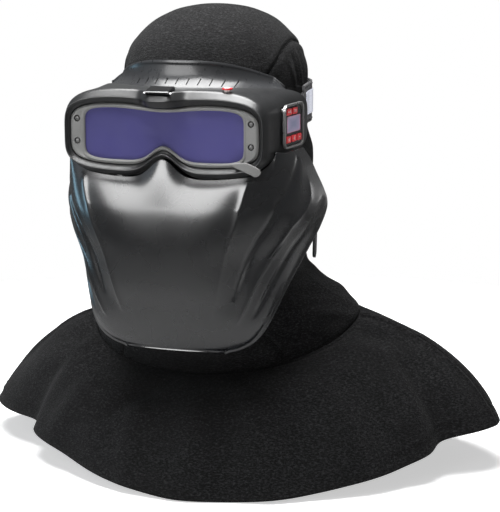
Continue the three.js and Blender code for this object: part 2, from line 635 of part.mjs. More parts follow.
// Rows of the shield from top to bottom: half width, rear edge y, front y, height, squareness.
const SHIELD_ROWS = [
  [97, -58, -134.5, -143.6, 4.2],
  [102, -42, -139, -151, 4],
  [107, -24, -142.5, -163, 3.6],
  [108, -20, -144.5, -176, 3.2],
  [104, -34, -145, -192, 2.8],
  [98, -50, -143.5, -209, 2.5],
  [90, -73, -139, -232, 2.35],
  [84, -89, -133, -251, 2.2],
  [78, -98, -128, -266, 2.1],
  [69, -103, -123, -279, 2],
  [57, -106, -119.5, -286.5, 2],
  [44, -107.5, -117.5, -290, 2],
];

// A row's five values at any height between the rows, on a smooth curve.
function shieldRow(v) {
  const t = v * (SHIELD_ROWS.length - 1);
  const i = Math.min(SHIELD_ROWS.length - 2, Math.floor(t));
  const f = t - i;
  const row = (k) => SHIELD_ROWS[Math.min(SHIELD_ROWS.length - 1, Math.max(0, k))];
  return row(i).map((_, k) => {
    const [a, b, c, d] = [row(i - 1)[k], row(i)[k], row(i + 1)[k], row(i + 2)[k]];
    return 0.5 * (2 * b + (c - a) * f + (2 * a - 5 * b + 4 * c - d) * f * f + (3 * b - a - 3 * c + d) * f ** 3);
  });
}

function shieldPoint(u, v, inset) {
  const [half, rear, front, height, power] = shieldRow(v);
  const turn = (u - 0.5) * Math.PI;
  const round = (Math.abs(Math.sin(turn)) ** power + Math.abs(Math.cos(turn)) ** power) ** (-1 / power);
  const across = Math.abs(Math.sin(turn)) * round;
  const forward = Math.max(0, Math.cos(turn)) * round;
  const x = Math.sign(turn) * (half - inset) * across;
  // The top edge follows the underside of the goggles: an arch for the nose, and a rise round the corners.
  const top = 1 - clamp01(v / 0.2);
  const corner = 38 * (1 - (1 - Math.min(1, Math.abs(x) / 91) ** 4) ** 0.25);
  const arch = 15.6 * Math.exp(-((x / 14.4) ** 2)) + Math.min(22, corner);
  const nose = 6.5 * Math.exp(-((x / 14) ** 2)) * Math.exp(-((v / 0.16) ** 2));
  return new THREE.Vector3(x, rear + (front + inset - rear) * forward - nose, height + arch * smooth(top));
}

function makeShield() {
  const skin = shell((u, v) => shieldPoint(u, v, 0), (u, v) => shieldPoint(u, v, WALL), 30, 14);
  add("face_shield", skin, glossPlastic);
  for (const [name, side] of [["shield_clip_left", 1], ["shield_clip_right", -1]]) {
    const arm = new THREE.BoxGeometry(10, 7.4, 2.6).translate(0, 0.4, -7.4);
    const post = new THREE.BoxGeometry(6.4, 3.4, 8).translate(0, 1.2, -3);
    add(name, join(arm, post).translate(side * CLIP.x, CLIP.y, CLIP.top), blackPlastic);
  }
}

// The shield's two clips reach up into slots in the underside of the goggles.
const CLIP = { x: 50, y: -121, top: -138.4 };

// ---- strap ----

const STRAP = { radius: 81, thick: 1.8, top: -72.6, bottom: -108.5, split: 48 };

// The strap's middle line in plan: straight from the anchor to the temple, then round the back of the hood.
function strapPath(t) {
  const r = STRAP.radius + STRAP.thick / 2;
  const anchor = new THREE.Vector2(88, -27);
  if (t < 0) return new THREE.Vector2(r, HEAD.setBack).lerp(anchor, -t);
  return new THREE.Vector2(r * Math.cos(t), HEAD.setBack + r * Math.sin(t));
}

function band(from, to, steps, top, bottom, near, far) {
  const sections = [];
  for (let i = 0; i <= steps; i++) {
    const t = mix(from, to, i / steps);
    const p = strapPath(t);
    const along = strapPath(t + 1e-3).sub(strapPath(t - 1e-3)).normalize();
    const out = new THREE.Vector2(along.y, -along.x);
    const at = (d, z) => new THREE.Vector3(p.x + out.x * d, p.y + out.y * d, z);
    sections.push([at(far, top), at(far, bottom), at(near, bottom), at(near, top)]);
  }
  return sweep(sections);
}

const mirrorX = (geometry) => {
  const flipped = geometry.clone().applyMatrix4(new THREE.Matrix4().makeScale(-1, 1, 1));
  return toGeometryFlipped(flipped);
};

// A mirrored mesh has its faces turned round, so each triangle's order is reversed.
function toGeometryFlipped(geometry) {
  const flat = geometry.index ? geometry.toNonIndexed() : geometry;
  const corners = Array.from(flat.attributes.position.array);
  return closedGeometry(corners);
}

function makeStrap() {
  const h = STRAP.thick / 2;
  const split = STRAP.split * DEG;
  const side = band(-1, split - 0.01, 22, STRAP.top, STRAP.bottom, -h, h);
  add("strap_left", side, elastic);
  add("strap_right", mirrorX(side), elastic);
  add("strap_back", band(split, Math.PI - split, 24, STRAP.top, STRAP.bottom, -h, h), elastic);
  add("strap_label", band(-0.62, 0.28, 12, -79.5, -100.5, h + 0.35, h + 1.1), reflective);
  const slider = cut(
    band(100 * DEG, 110 * DEG, 6, STRAP.top + 3, STRAP.bottom - 3, -h - 1.6 + 0.9, h + 2),
    band(90 * DEG, 120 * DEG, 16, STRAP.top + 0.7, STRAP.bottom - 0.7, -h - 0.4, h + 0.4));
  add("strap_slider", slider, blackPlastic);
  for (const [name, sign] of [["strap_anchor_left", 1], ["strap_anchor_right", -1]]) {
    const shape = new THREE.Shape();
    [[-53, -90], [-48, -86], [-36, -81.5], [-28.5, -78], [-28.5, -108.5], [-40, -110.5], [-53, -106]]
      .forEach(([y, z], i) => (i ? shape.lineTo(y, z) : shape.moveTo(y, z)));
    const body = new THREE.ExtrudeGeometry(shape, { depth: 2.3, bevelEnabled: false });
    body.applyMatrix4(ACROSS).translate(86.8, 0, 0);
    add(name, sign > 0 ? body : mirrorX(body), blackPlastic);
  }
}

// ---- assembly ----

makeCrown();
makeNeck();
makeFaceBinding();
makeCape();
makeNeckTab();
const leftTemple = templeFrame(1);
const rightTemple = templeFrame(-1);
add("goggle_housing", goggleHousing(leftTemple, rightTemple), shellPlastic);
makePowerButton();
makeLensFrame();
makeOptics();
makeLatch();
makeBrowSeal();
makeControlPanel(leftTemple);
makeBatteries(rightTemple);
makeShield();
makeStrap();

export default mask;
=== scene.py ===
# Looks for the welding mask: goggles, face shield, hood and cape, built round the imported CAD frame.
# Shapes are drawn in the CAD source's drawing space, in millimetres, and moved into the frame as meshes.
import math

import bmesh
import bpy
import numpy as np
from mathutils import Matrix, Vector


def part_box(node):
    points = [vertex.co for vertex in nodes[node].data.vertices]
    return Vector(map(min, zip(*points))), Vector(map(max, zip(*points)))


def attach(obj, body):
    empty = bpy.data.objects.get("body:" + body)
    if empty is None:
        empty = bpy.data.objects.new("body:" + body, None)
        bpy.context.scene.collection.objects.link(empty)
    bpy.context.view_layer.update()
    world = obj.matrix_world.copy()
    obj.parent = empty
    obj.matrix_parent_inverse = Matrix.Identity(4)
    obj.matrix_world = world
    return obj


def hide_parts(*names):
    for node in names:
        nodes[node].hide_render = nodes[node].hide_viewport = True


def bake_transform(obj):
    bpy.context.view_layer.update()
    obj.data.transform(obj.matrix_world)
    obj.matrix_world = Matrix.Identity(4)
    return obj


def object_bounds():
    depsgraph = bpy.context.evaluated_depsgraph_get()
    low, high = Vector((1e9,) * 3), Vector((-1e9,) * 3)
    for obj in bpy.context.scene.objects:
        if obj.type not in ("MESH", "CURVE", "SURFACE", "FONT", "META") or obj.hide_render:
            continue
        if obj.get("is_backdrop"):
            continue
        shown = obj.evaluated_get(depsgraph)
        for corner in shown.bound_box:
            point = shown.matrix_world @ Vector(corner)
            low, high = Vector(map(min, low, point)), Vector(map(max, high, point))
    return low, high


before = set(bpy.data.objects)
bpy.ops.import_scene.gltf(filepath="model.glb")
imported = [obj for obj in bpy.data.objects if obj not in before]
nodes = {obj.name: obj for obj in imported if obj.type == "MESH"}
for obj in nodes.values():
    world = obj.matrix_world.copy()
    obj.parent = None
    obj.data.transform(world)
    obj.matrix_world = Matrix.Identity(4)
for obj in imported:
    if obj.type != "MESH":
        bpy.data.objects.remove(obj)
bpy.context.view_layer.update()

MM = 0.001
LIFT = 7.2  # the drawing space lies this far below the frame
FABRIC = 2.2  # thickness of the knit
WALL = 2.4  # thickness of the moulded walls
MIDDLE_Z = -150.0  # the middle of the head and neck

HEAD = dict(half=79, front=97, back=79, set_back=8, top=-4.8, wall=-72, power=2.2, bottom=-74.5)
FACE_HALF = 38  # degrees either side of the front
FACE_BOTTOM = 0.625
COLLAR = dict(half=126, front=86, back=54, y=30, side=-289.5, front_drop=38.5, back_rise=8)
HEM = dict(x=13, y=20, half=233, front=171, back=135, power=1.5, side=-380, front_drop=32, turn=15)
ROLL = 0.045

WINDOW = dict(half=69, top=-85, bottom=-128, power=7, arch=12.5, arch_width=14, dip=3, dip_width=26)
FRAME = dict(half=82, top=-81, bottom=-132, power=4.5, arch=13, arch_width=15, dip=3, dip_width=26)
RIM = dict(half=88.3, top=-68.5, bottom=-142.5, power=4, arch=16, arch_width=16.5, dip=1, dip_width=30)
REAR = dict(half=94.5, top=-69.6, bottom=-132, power=5, arch=20, arch_width=19, dip=0, dip_width=30)
CUSHION = dict(half=71, top=-78, bottom=-124, power=4, arch=22, arch_width=18, dip=0, dip_width=30)
WAIST = dict(RIM, half=91)
FRONT_Y = -135

# Rows of the shield from top to bottom: half width, rear edge, front, height, squareness.
SHIELD_ROWS = np.array([
    [97, -58, -134.5, -143.6, 4.2], [102, -42, -139, -151, 4], [107, -24, -142.5, -163, 3.6],
    [108, -20, -144.5, -176, 3.2], [104, -34, -145, -192, 2.8], [98, -50, -143.5, -209, 2.5],
    [90, -73, -139, -232, 2.35], [84, -89, -133, -251, 2.2], [78, -98, -128, -266, 2.1],
    [69, -103, -123, -279, 2], [57, -106, -119.5, -286.5, 2], [44, -107.5, -117.5, -290, 2]])


# ---- numbers ----

def clamp(t):
    return np.clip(t, 0, 1)


def ease(t):
    t = clamp(t)
    return t * t * (3 - 2 * t)


def mix(a, b, t):
    return a + (b - a) * t


def stack(x, y, z):
    return np.stack(np.broadcast_arrays(x, y, z), -1).astype(float)


def hump(x, centre, width):
    return np.exp(-((x - centre) / width) ** 2)


def grain(x, y, size, seed):
    """Soft uneven waves of about one size, from -1 to 1, the same on every run."""
    rng = np.random.default_rng(seed)
    total = 0.0
    for _ in range(9):
        turn, phase, scale = rng.uniform(0, math.tau), rng.uniform(0, math.tau), rng.uniform(0.7, 1.5)
        total = total + np.sin((x * math.cos(turn) + y * math.sin(turn)) * scale * math.tau / size + phase)
    return total / 4.5


def grid(u0, u1, un, v0, v1, vn):
    return np.meshgrid(np.linspace(u0, u1, un), np.linspace(v0, v1, vn), indexing="ij")


def unit(way):
    return way / np.maximum(np.linalg.norm(way, axis=-1, keepdims=True), 1e-9)


def off_line(x, y, x0, y0, x1, y1):
    """How far each point is from a straight line between two points, and its share of the way along it."""
    run, fall = x1 - x0, y1 - y0
    along = clamp(((x - x0) * run + (y - y0) * fall) / (run * run + fall * fall))
    return np.hypot(x - x0 - along * run, y - y0 - along * fall), along


# ---- surfaces of the CAD source ----

def head_point(a, share, z):
    c = np.cos(a)
    set_back = HEAD["set_back"] * share * ease(-4 * c)
    y = np.where(c > 0, -HEAD["front"] * share * c, set_back - HEAD["back"] * share * c)
    return stack(HEAD["half"] * share * np.sin(a), y, z)


def crown_point(a, v):
    wall_share = 0.1
    bend = clamp(v / (1 - wall_share)) * math.pi / 2
    share = np.sin(bend) ** (2 / HEAD["power"])
    rise = clamp(np.cos(bend)) ** (2 / HEAD["power"])
    wall = mix(HEAD["wall"], HEAD["bottom"], clamp((v - 1 + wall_share) / wall_share))
    z = np.where(v > 1 - wall_share, wall, HEAD["wall"] + (HEAD["top"] - HEAD["wall"]) * rise)
    return head_point(a, np.where(v > 1 - wall_share, 1.0, share), z)


def collar_point(a):
    c = np.cos(a)
    x = COLLAR["half"] * np.sin(a)
    reach = np.where(c > 0, COLLAR["front"], COLLAR["back"])
    drop = np.where(c > 0, COLLAR["front_drop"], COLLAR["back_rise"])
    return stack(x, COLLAR["y"] - reach * c, COLLAR["side"] - drop * c + ROLL * x)


def neck_point(a, v):
    top = head_point(a, 1.0, HEAD["bottom"] - 0.4 + 0 * v)
    low = collar_point(a + 0 * v)
    point = mix(top, low, ease((v - 0.76) / 0.24)[..., None])
    side = clamp((1 - np.cos(a)) * 1.4)
    puff = 1 + 0.075 * side * ease((v - 0.17) / 0.11) * (1 - v)
    point[..., 0] *= puff
    point[..., 1] *= puff
    point[..., 2] = mix(top[..., 2], low[..., 2], v)
    return point


# Hanging folds of the cape: centre and width in degrees from the front, and height as a share of the reach.
FOLDS = [
    (69, 6, -0.02), (79, 5, -0.07), (93, 8, 0.035), (-57, 7, 0.01), (-67, 6, -0.07), (-86, 9, 0.03),
    (34, 13, 0.02), (10, 11, -0.015), (-26, 12, 0.02), (122, 12, -0.05), (146, 11, 0.05), (170, 10, -0.04),
    (-120, 12, -0.05), (-146, 11, 0.05), (-172, 9, -0.02)]


def hem_point(a):
    c, s = np.cos(a), np.sin(a)
    degrees = np.degrees(a)
    reach = np.where(c > 0, HEM["front"], HEM["back"])
    power = np.where(c > 0, HEM["power"], 2.0)
    radius = (np.abs(s / HEM["half"]) ** power + np.abs(c / reach) ** power) ** (-1 / power)
    folded = sum(h * hump((degrees - at + 540) % 360, 180, w) for at, w, h in FOLDS)
    radius = radius * (1 + folded)
    lowest = clamp(np.cos(a - math.radians(HEM["turn"]))) ** 1.5
    lift = 8 * hump(degrees, 86, 13)
    z = HEM["side"] - HEM["front_drop"] * lowest + lift - np.where(c < 0, 14 * c * c, 0)
    return stack(HEM["x"] + radius * s, HEM["y"] - radius * c, z + 0.02 * radius * s)


def cape_point(a, v):
    start, end = collar_point(a), hem_point(a)
    bulge = 0.62 * math.pi
    out = np.sin(v * bulge) / math.sin(bulge) * 0.25 + 0.75 * v
    c = np.cos(a)
    steepness = 1.5 + 0.15 * np.sin(a) - np.where(c < 0, 0.6 * np.abs(c), 0)
    point = mix(start, end, out[..., None])
    point[..., 2] = mix(start[..., 2] - 0.4, end[..., 2], v ** steepness)
    return point


def outline_point(o, a, grow):
    c, s = np.cos(a), np.sin(a)
    r = (np.abs(c) ** o["power"] + np.abs(s) ** o["power"]) ** (-1 / o["power"])
    x = (o["half"] + grow) * r * c
    z = (o["top"] + o["bottom"]) / 2 + ((o["top"] - o["bottom"]) / 2 + grow) * r * s
    arch = o["arch"] * hump(x, 0, o["arch_width"])
    dip = o["dip"] * hump(x, 0, o["dip_width"])
    return x, z + np.where(s < 0, arch, -dip)


def rear_y(x, _z=0):
    """The rear edge of the goggles, at any height."""
    return -108 + 73 * (np.abs(x) / REAR["half"]) ** 2.2


def shield_row(v):
    t = v * (len(SHIELD_ROWS) - 1)
    i = np.clip(np.floor(t).astype(int), 0, len(SHIELD_ROWS) - 2)
    f = (t - i)[..., None]
    row = lambda k: SHIELD_ROWS[np.clip(k, 0, len(SHIELD_ROWS) - 1)]
    a, b, c, d = row(i - 1), row(i), row(i + 1), row(i + 2)
    return 0.5 * (2 * b + (c - a) * f + (2 * a - 5 * b + 4 * c - d) * f ** 2
                  + (3 * b - a - 3 * c + d) * f ** 3)


def shield_point(turn, v):
    half, rear, front, height, power = np.moveaxis(shield_row(v), -1, 0)
    s, c = np.abs(np.sin(turn)), clamp(np.cos(turn))
    round_ = (s ** power + c ** power) ** (-1 / power)
    x = np.sign(turn) * half * s * round_
    top = ease(1 - clamp(v / 0.2))
    corner = 38 * (1 - (1 - np.minimum(1, np.abs(x) / 91) ** 4) ** 0.25)
    arch = 15.6 * hump(x, 0, 14.4) + np.minimum(22, corner)
    nose = 2.4 * hump(x, 0, 30) * hump(v, 0, 0.22)
    return stack(x, rear + (front - rear) * c * round_ - nose, height + arch * top)


# ---- meshes ----

def metres(points):
    out = np.array(points, float) * MM
    out[..., 2] += LIFT * MM
    return out


def put(name, data):
    """A new object in the scene."""
    piece = bpy.data.objects.new(name, data)
    bpy.context.scene.collection.objects.link(piece)
    return piece


def put_bmesh(name, bm):
    mesh = bpy.data.meshes.new(name)
    bm.to_mesh(mesh)
    bm.free()
    return put(name, mesh)


def build(name, verts, faces, uv=None, smooth=True):
    """A mesh object, its doubled points joined and its faces turned outwards."""
    mesh = bpy.data.meshes.new(name)
    mesh.from_pydata([tuple(v) for v in verts], [], faces)
    bm = bmesh.new()
    bm.from_mesh(mesh)
    if uv is not None:
        layer = bm.loops.layers.uv.new("along")
        for face in bm.faces:
            for loop in face.loops:
                loop[layer].uv = uv[loop.vert.index]
    bmesh.ops.remove_doubles(bm, verts=bm.verts, dist=2e-6)
    bmesh.ops.dissolve_degenerate(bm, edges=bm.edges, dist=1e-7)
    bmesh.ops.recalc_face_normals(bm, faces=bm.faces)
    bm.to_mesh(mesh)
    bm.free()
    mesh.polygons.foreach_set("use_smooth", [smooth] * len(mesh.polygons))
    return put(name, mesh)


def loft(name, sections, wrap, uv=None):
    """A closed solid through sections of equal length. Open ends are capped across each section."""
    n, m, _ = sections.shape
    faces = []
    for i in range(n if wrap else n - 1):
        a, b = i * m, ((i + 1) % n) * m
        faces += [(a + j, b + j, b + (j + 1) % m, a + (j + 1) % m) for j in range(m)]
    if not wrap:
        for base in (0, (n - 1) * m):
            for k in range(m // 2):
                far = [base + k, base + (k + 1) % m, base + (m - k - 1) % m, base + (m - k) % m]
                if len(set(far)) >= 3:
                    faces.append(tuple(dict.fromkeys(far)))
    flat_uv = None if uv is None else [tuple(c) for c in uv.reshape(-1, 2)]
    return build(name, metres(sections).reshape(-1, 3), faces, flat_uv)


def normals_of(points, wrap=False):
    """Unit normals of a grid of points, made to point away from the middle."""
    if wrap:
        du = np.roll(points, -1, 0) - np.roll(points, 1, 0)
    else:
        du = np.gradient(points, axis=0)
    normal = unit(np.cross(du, np.gradient(points, axis=1)))
    outward = np.sum(normal * (points - np.array([0, 0, MIDDLE_Z])), -1)
    return normal * (1 if np.median(np.sign(outward)) > 0 else -1)


def skin(name, outer, depth):
    """A sheet with thickness under a grid of points, its top and bottom edges rounded over."""
    proud = 0.42 * depth  # how far the rounded edge stands out
    inner = outer - normals_of(outer) * depth
    loop = [outer, inner[:, ::-1]]
    for at, step, place in ((-1, -2, 1), (0, 1, 3)):
        way = unit(outer[:, at] - outer[:, step])
        edge = (outer[:, at] + inner[:, at]) / 2 + way * proud
        loop.insert(place, edge[:, None])
    return loft(name, np.concatenate(loop, 1), False)


def fillet(corners, radii):
    """Rounds the corners of closed sections, an (n, m, 3) array, each by its own radius."""
    steps = 5
    out = []
    m = corners.shape[1]
    for j in range(m):
        here, before, after = corners[:, j], corners[:, j - 1], corners[:, (j + 1) % m]
        if radii[j] <= 0:
            out.append(here)
            continue
        ends = []
        for other in (before, after):
            way = other - here
            length = np.linalg.norm(way, axis=-1, keepdims=True)
            ends.append(here + way * np.minimum(radii[j] / np.maximum(length, 1e-9), 0.48))
        for t in np.linspace(0, 1, steps + 1):
            out.append((1 - t) ** 2 * ends[0] + 2 * t * (1 - t) * here + t * t * ends[1])
    return np.stack(out, 1)


def ring(name, section, steps=420):
    """A ring round the goggles, from (outline, grow, y, radius) corners.

    y is the distance behind the front plane, or a function of the point that gives its y.
    """
    turn = math.tau * (np.arange(steps) + 0.5) / steps
    turn = turn + 0.25 * np.sin(2 * turn)
    corners, radii = [], []
    for outline, grow, y, radius in section:
        x, z = outline_point(outline, turn, grow)
        corners.append(stack(x, y(x, z) if callable(y) else FRONT_Y + y, z))
        radii.append(radius)
    return loft(name, fillet(np.stack(corners, 1), radii), True)


def tube(name, path, radius, sides):
    """A closed round cord along a path of points in drawing space."""
    way = unit(np.roll(path, -1, 0) - np.roll(path, 1, 0))
    side = unit(np.cross(way, np.array([0.05, 0.1, 1.0])))
    up = np.cross(side, way)
    turn = np.linspace(0, math.tau, sides, endpoint=False)[None, :, None]
    rings = path[:, None] + radius * (np.cos(turn) * side[:, None] + np.sin(turn) * up[:, None])
    return loft(name, rings, True)


def stitches(name, path, outward, pitch, length, radius):
    """A row of raised stitches along a path on a surface with these outward normals."""
    lift = 0.1
    run = np.concatenate([[0], np.cumsum(np.linalg.norm(np.diff(path, axis=0), axis=1))])
    at = np.arange(pitch, run[-1] - pitch, pitch)
    pick = lambda values, s: np.stack([np.interp(s, run, values[:, k]) for k in range(3)], -1)
    verts, faces = [], []
    turn = np.linspace(0, math.tau, 6, endpoint=False)
    for s in at:
        middle, normal = pick(path, s), pick(outward, s)
        way, normal = unit(pick(path, s + 0.5) - pick(path, s - 0.5)), unit(normal)
        side = np.cross(way, normal)
        base = len(verts)
        for along, size, rise in ((-0.5, 0.3, -0.5), (-0.25, 1, 0.5), (0.25, 1, 0.5), (0.5, 0.3, -0.5)):
            centre = middle + way * along * length + normal * (lift + rise * radius)
            for t in turn:
                verts.append(centre + radius * size * (side * math.cos(t) + normal * math.sin(t)))
        for k in range(3):
            for j in range(6):
                a, b = base + 6 * k + j, base + 6 * k + (j + 1) % 6
                faces.append((a, b, b + 6, a + 6))
        faces += [tuple(range(base, base + 6)), tuple(range(base + 18, base + 24))]
    return build(name, metres(np.array(verts)), faces)


def bake(piece):
    """Applies a piece's modifiers to its mesh."""
    made = bpy.data.meshes.new_from_object(piece.evaluated_get(bpy.context.evaluated_depsgraph_get()))
    piece.modifiers.clear()
    piece.data = made


def put_cutter(bm, at, turn):
    piece = put_bmesh("cutter", bm)
    piece.rotation_euler = turn
    piece.location = Vector(metres(at))
    return piece


def block(size, at, turn=(0, 0, 0), corner=0.0):
    """A cutting block in drawing space: size and place in millimetres."""
    bm = bmesh.new()
    bmesh.ops.create_cube(bm, size=1)
    for vert in bm.verts:
        vert.co = Vector(vert.co[k] * size[k] * MM for k in range(3))
    if corner:
        edges = [e for e in bm.edges if abs((e.verts[0].co - e.verts[1].co).normalized().x) > 0.9]
        bmesh.ops.bevel(bm, geom=edges, offset=corner * MM, segments=6, affect="EDGES", profile=0.5)
    return put_cutter(bm, at, turn)


def rod(radius, depth, at, turn=(0, 0, 0)):
    """A cutting cylinder in drawing space, along its own Z."""
    bm = bmesh.new()
    bmesh.ops.create_cone(bm, cap_ends=True, segments=48, radius1=radius * MM, radius2=radius * MM,
                          depth=depth * MM)
    return put_cutter(bm, at, turn)


def carve(piece, cutters, edge):
    """Cuts the cutters out of a piece and rounds the sharp edges that this leaves."""
    bpy.context.view_layer.update()
    for cutter in cutters:
        cut = piece.modifiers.new("cut", "BOOLEAN")
        cut.operation, cut.solver, cut.object = "DIFFERENCE", "EXACT", cutter
    bake(piece)
    for cutter in cutters:
        bpy.data.objects.remove(cutter)
    soften(piece, edge)


def soften(piece, width, segments=2, angle=38):
    """Rounds the edges of a piece sharper than angle, with modifiers, and keeps its flat faces flat."""
    weld = piece.modifiers.new("weld", "WELD")
    weld.merge_threshold = 5e-6
    bevel = piece.modifiers.new("bevel", "BEVEL")
    bevel.width, bevel.segments = width * MM, segments
    bevel.limit_method, bevel.angle_limit = "ANGLE", math.radians(angle)
    bevel.miter_outer = "MITER_ARC"
    piece.modifiers.new("normals", "WEIGHTED_NORMAL").keep_sharp = False
    piece.data.polygons.foreach_set("use_smooth", [True] * len(piece.data.polygons))


def paint(piece, finish):
    piece.data.materials.clear()
    piece.data.materials.append(finish)


def settle(piece, body, finish, slot, *cad):
    """Rides a finished piece on its body, in place of its CAD nodes, in its material."""
    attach(piece, body)
    if cad:
        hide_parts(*cad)
    paint(piece, finish)


# ---- materials ----

class Shader:
    """A node material with a Principled shader, and short ways to add to it."""

    def __init__(self, name, **values):
        self.material = bpy.data.materials.new(name)
        self.material.use_nodes = True
        self.tree = self.material.node_tree
        self.main = self.tree.nodes["Principled BSDF"]
        self.where = self.node("ShaderNodeTexCoord").outputs["Object"]
        for key, value in values.items():
            self.main.inputs[key.replace("_", " ")].default_value = value

    def node(self, kind, inputs=None, **settings):
        made = self.tree.nodes.new(kind)
        for key, value in settings.items():
            setattr(made, key, value)
        for key, value in (inputs or {}).items():
            if isinstance(value, bpy.types.NodeSocket):
                self.tree.links.new(value, made.inputs[key])
            else:
                made.inputs[key].default_value = value
        return made

    def noise(self, scale, detail, rough=0.5, where=None):
        inputs = {"Vector": where or self.where, "Scale": scale, "Detail": detail, "Roughness": rough}
        return self.node("ShaderNodeTexNoise", inputs).outputs["Fac"]

    def cells(self, scale, where=None, feature="F1"):
        inputs = {"Vector": where or self.where, "Scale": scale}
        return self.node("ShaderNodeTexVoronoi", inputs, feature=feature).outputs["Distance"]

    def wave(self, scale, where, direction, distortion=0.0):
        inputs = {"Vector": where, "Scale": scale, "Distortion": distortion, "Detail": 1.0}
        return self.node("ShaderNodeTexWave", inputs, wave_type="BANDS",
                         bands_direction=direction).outputs["Fac"]

    def stretch(self, x, y, z, where=None):
        inputs = {"Vector": where or self.where, "Scale": (x, y, z)}
        return self.node("ShaderNodeMapping", inputs).outputs[0]

    def math(self, operation, a, b):
        return self.node("ShaderNodeMath", {0: a, 1: b}, operation=operation).outputs[0]

    def total(self, a, times_a, b, times_b):
        return self.math("ADD", self.math("MULTIPLY", a, times_a), self.math("MULTIPLY", b, times_b))

    def ramp(self, fac, *stops):
        made = self.node("ShaderNodeValToRGB", {"Fac": fac})
        elements = made.color_ramp.elements
        while len(elements) < len(stops):
            elements.new(0.5)
        for element, (place, colour) in zip(elements, stops):
            element.position = place
            grey = (colour, colour, colour) if isinstance(colour, (int, float)) else colour
            element.color = (*grey, 1)
        return made.outputs["Color"]

    def bump(self, height, depth, strength, before=None):
        inputs = {"Height": height, "Distance": depth * MM, "Strength": strength}
        if before is not None:
            inputs["Normal"] = before
        return self.node("ShaderNodeBump", inputs).outputs["Normal"]

    def into(self, name, socket):
        self.tree.links.new(socket, self.main.inputs[name])

    def vary(self, name, fac, low, high):
        """Varies an input of the main shader between two values or colours."""
        self.into(name, self.ramp(fac, (0.3, low), (0.7, high)))


def tint(colour, by):
    return tuple(min(1.0, c * by) for c in colour)


def moulded(name, colour, rough, spread, grain_size, grain_depth, coat=0.0, **values):
    """Moulded plastic: a fine grain, uneven polish and slightly uneven colour."""
    s = Shader(name, Coat_Weight=coat, Coat_Roughness=0.06, **values)
    cloud = s.noise(28, 4)
    s.vary("Base Color", cloud, tint(colour, 0.86), tint(colour, 1.14))
    s.into("Roughness", s.ramp(s.noise(190, 5, 0.6), (0.3, rough - spread), (0.72, rough + spread)))
    fine = s.noise(1000 / grain_size, 2)
    s.into("Normal", s.bump(fine, grain_depth, 0.6, s.bump(s.noise(60, 2), 0.05, 0.25)))
    return s.material


def metal(name, colour, rough, across):
    """Turned or drawn metal, its fine scratches along one way."""
    s = Shader(name, Metallic=1.0)
    lines = s.noise(1500, 3, 0.6, s.stretch(*across))
    s.vary("Base Color", s.noise(120, 3), tint(colour, 0.85), colour)
    s.into("Roughness", s.ramp(lines, (0.25, rough * 0.7), (0.75, rough * 1.4)))
    s.into("Normal", s.bump(lines, 0.01, 0.5))
    return s.material


def knit_cloth():
    """Black fleece-backed knit: close loops, a soft fuzz and slightly uneven dye."""
    s = Shader("black_knit", Sheen_Weight=0.03, Sheen_Roughness=0.5, Specular_IOR_Level=0.15)
    fuzz = s.noise(620, 4, 0.7, s.stretch(0.65, 0.65, 1.5))
    cloud = s.noise(22, 4, 0.6)
    dye = ((0.40, (0.0010, 0.0010, 0.0011)), (0.51, (0.0048, 0.0048, 0.0052)), (0.66, (0.026, 0.026, 0.027)))
    s.into("Base Color", s.ramp(s.total(fuzz, 0.88, cloud, 0.12), *dye))
    s.vary("Roughness", cloud, 0.86, 0.97)
    loops = s.cells(560, s.stretch(1, 1, 0.72))
    first = s.bump(loops, 0.35, 0.55)
    s.into("Normal", s.bump(fuzz, 0.7, 1.3, s.bump(s.noise(34, 3, 0.5), 0.5, 2.6, first)))
    return s.material


def webbing(name, dark, light, ribs):
    """Woven elastic. Its ribs run along the band, and short yarns of two shades show between them."""
    s = Shader(name, Sheen_Weight=0.2, Sheen_Roughness=0.45, Specular_IOR_Level=0.25)
    along = s.node("ShaderNodeUVMap", uv_map="along").outputs["UV"]
    rib = s.wave(ribs, along, "Y")
    weft = s.wave(ribs * 1.3, along, "X", 0.6)
    heather = s.noise(1, 3, 0.7, s.stretch(420, 1500, 1, along))
    s.into("Base Color", s.ramp(s.total(heather, 0.75, weft, 0.25), (0.36, dark), (0.66, light)))
    s.vary("Roughness", heather, 0.7, 0.9)
    s.into("Normal", s.bump(rib, 0.3, 0.7, s.bump(weft, 0.15, 0.5)))
    return s.material


def shield_gloss():
    """Glossy black polycarbonate with faint polish marks under a clear skin."""
    s = Shader("shield_gloss", Coat_Weight=0.8, Coat_Roughness=0.2, IOR=1.56, Specular_IOR_Level=0.9)
    s.vary("Base Color", s.noise(14, 3), (0.006, 0.0065, 0.008), (0.009, 0.010, 0.012))
    s.vary("Roughness", s.noise(35, 2, 0.5), 0.25, 0.30)
    return s.material


def lens_tint():
    """The violet-blue reflective face of a welding lens, with a painted reflection that makes it a little
    lighter towards +X and downwards.
    """
    s = Shader("violet_lens", Coat_Weight=0.35, Coat_Roughness=0.03, IOR=1.5)
    split = s.node("ShaderNodeSeparateXYZ", {"Vector": s.where}).outputs
    # painted reflection: the tint is lightened towards +X and downwards, with random unevenness on top
    painted_reflection_slope = s.total(split["X"], 1.6, split["Z"], -3.0)
    shade = s.math("ADD", painted_reflection_slope, s.math("MULTIPLY", s.noise(18, 2), 0.35))
    s.into("Base Color", s.ramp(shade, (0.2, (0.074, 0.070, 0.225)), (0.75, (0.106, 0.098, 0.295))))
    s.vary("Roughness", s.noise(60, 3), 0.12, 0.2)
    return s.material


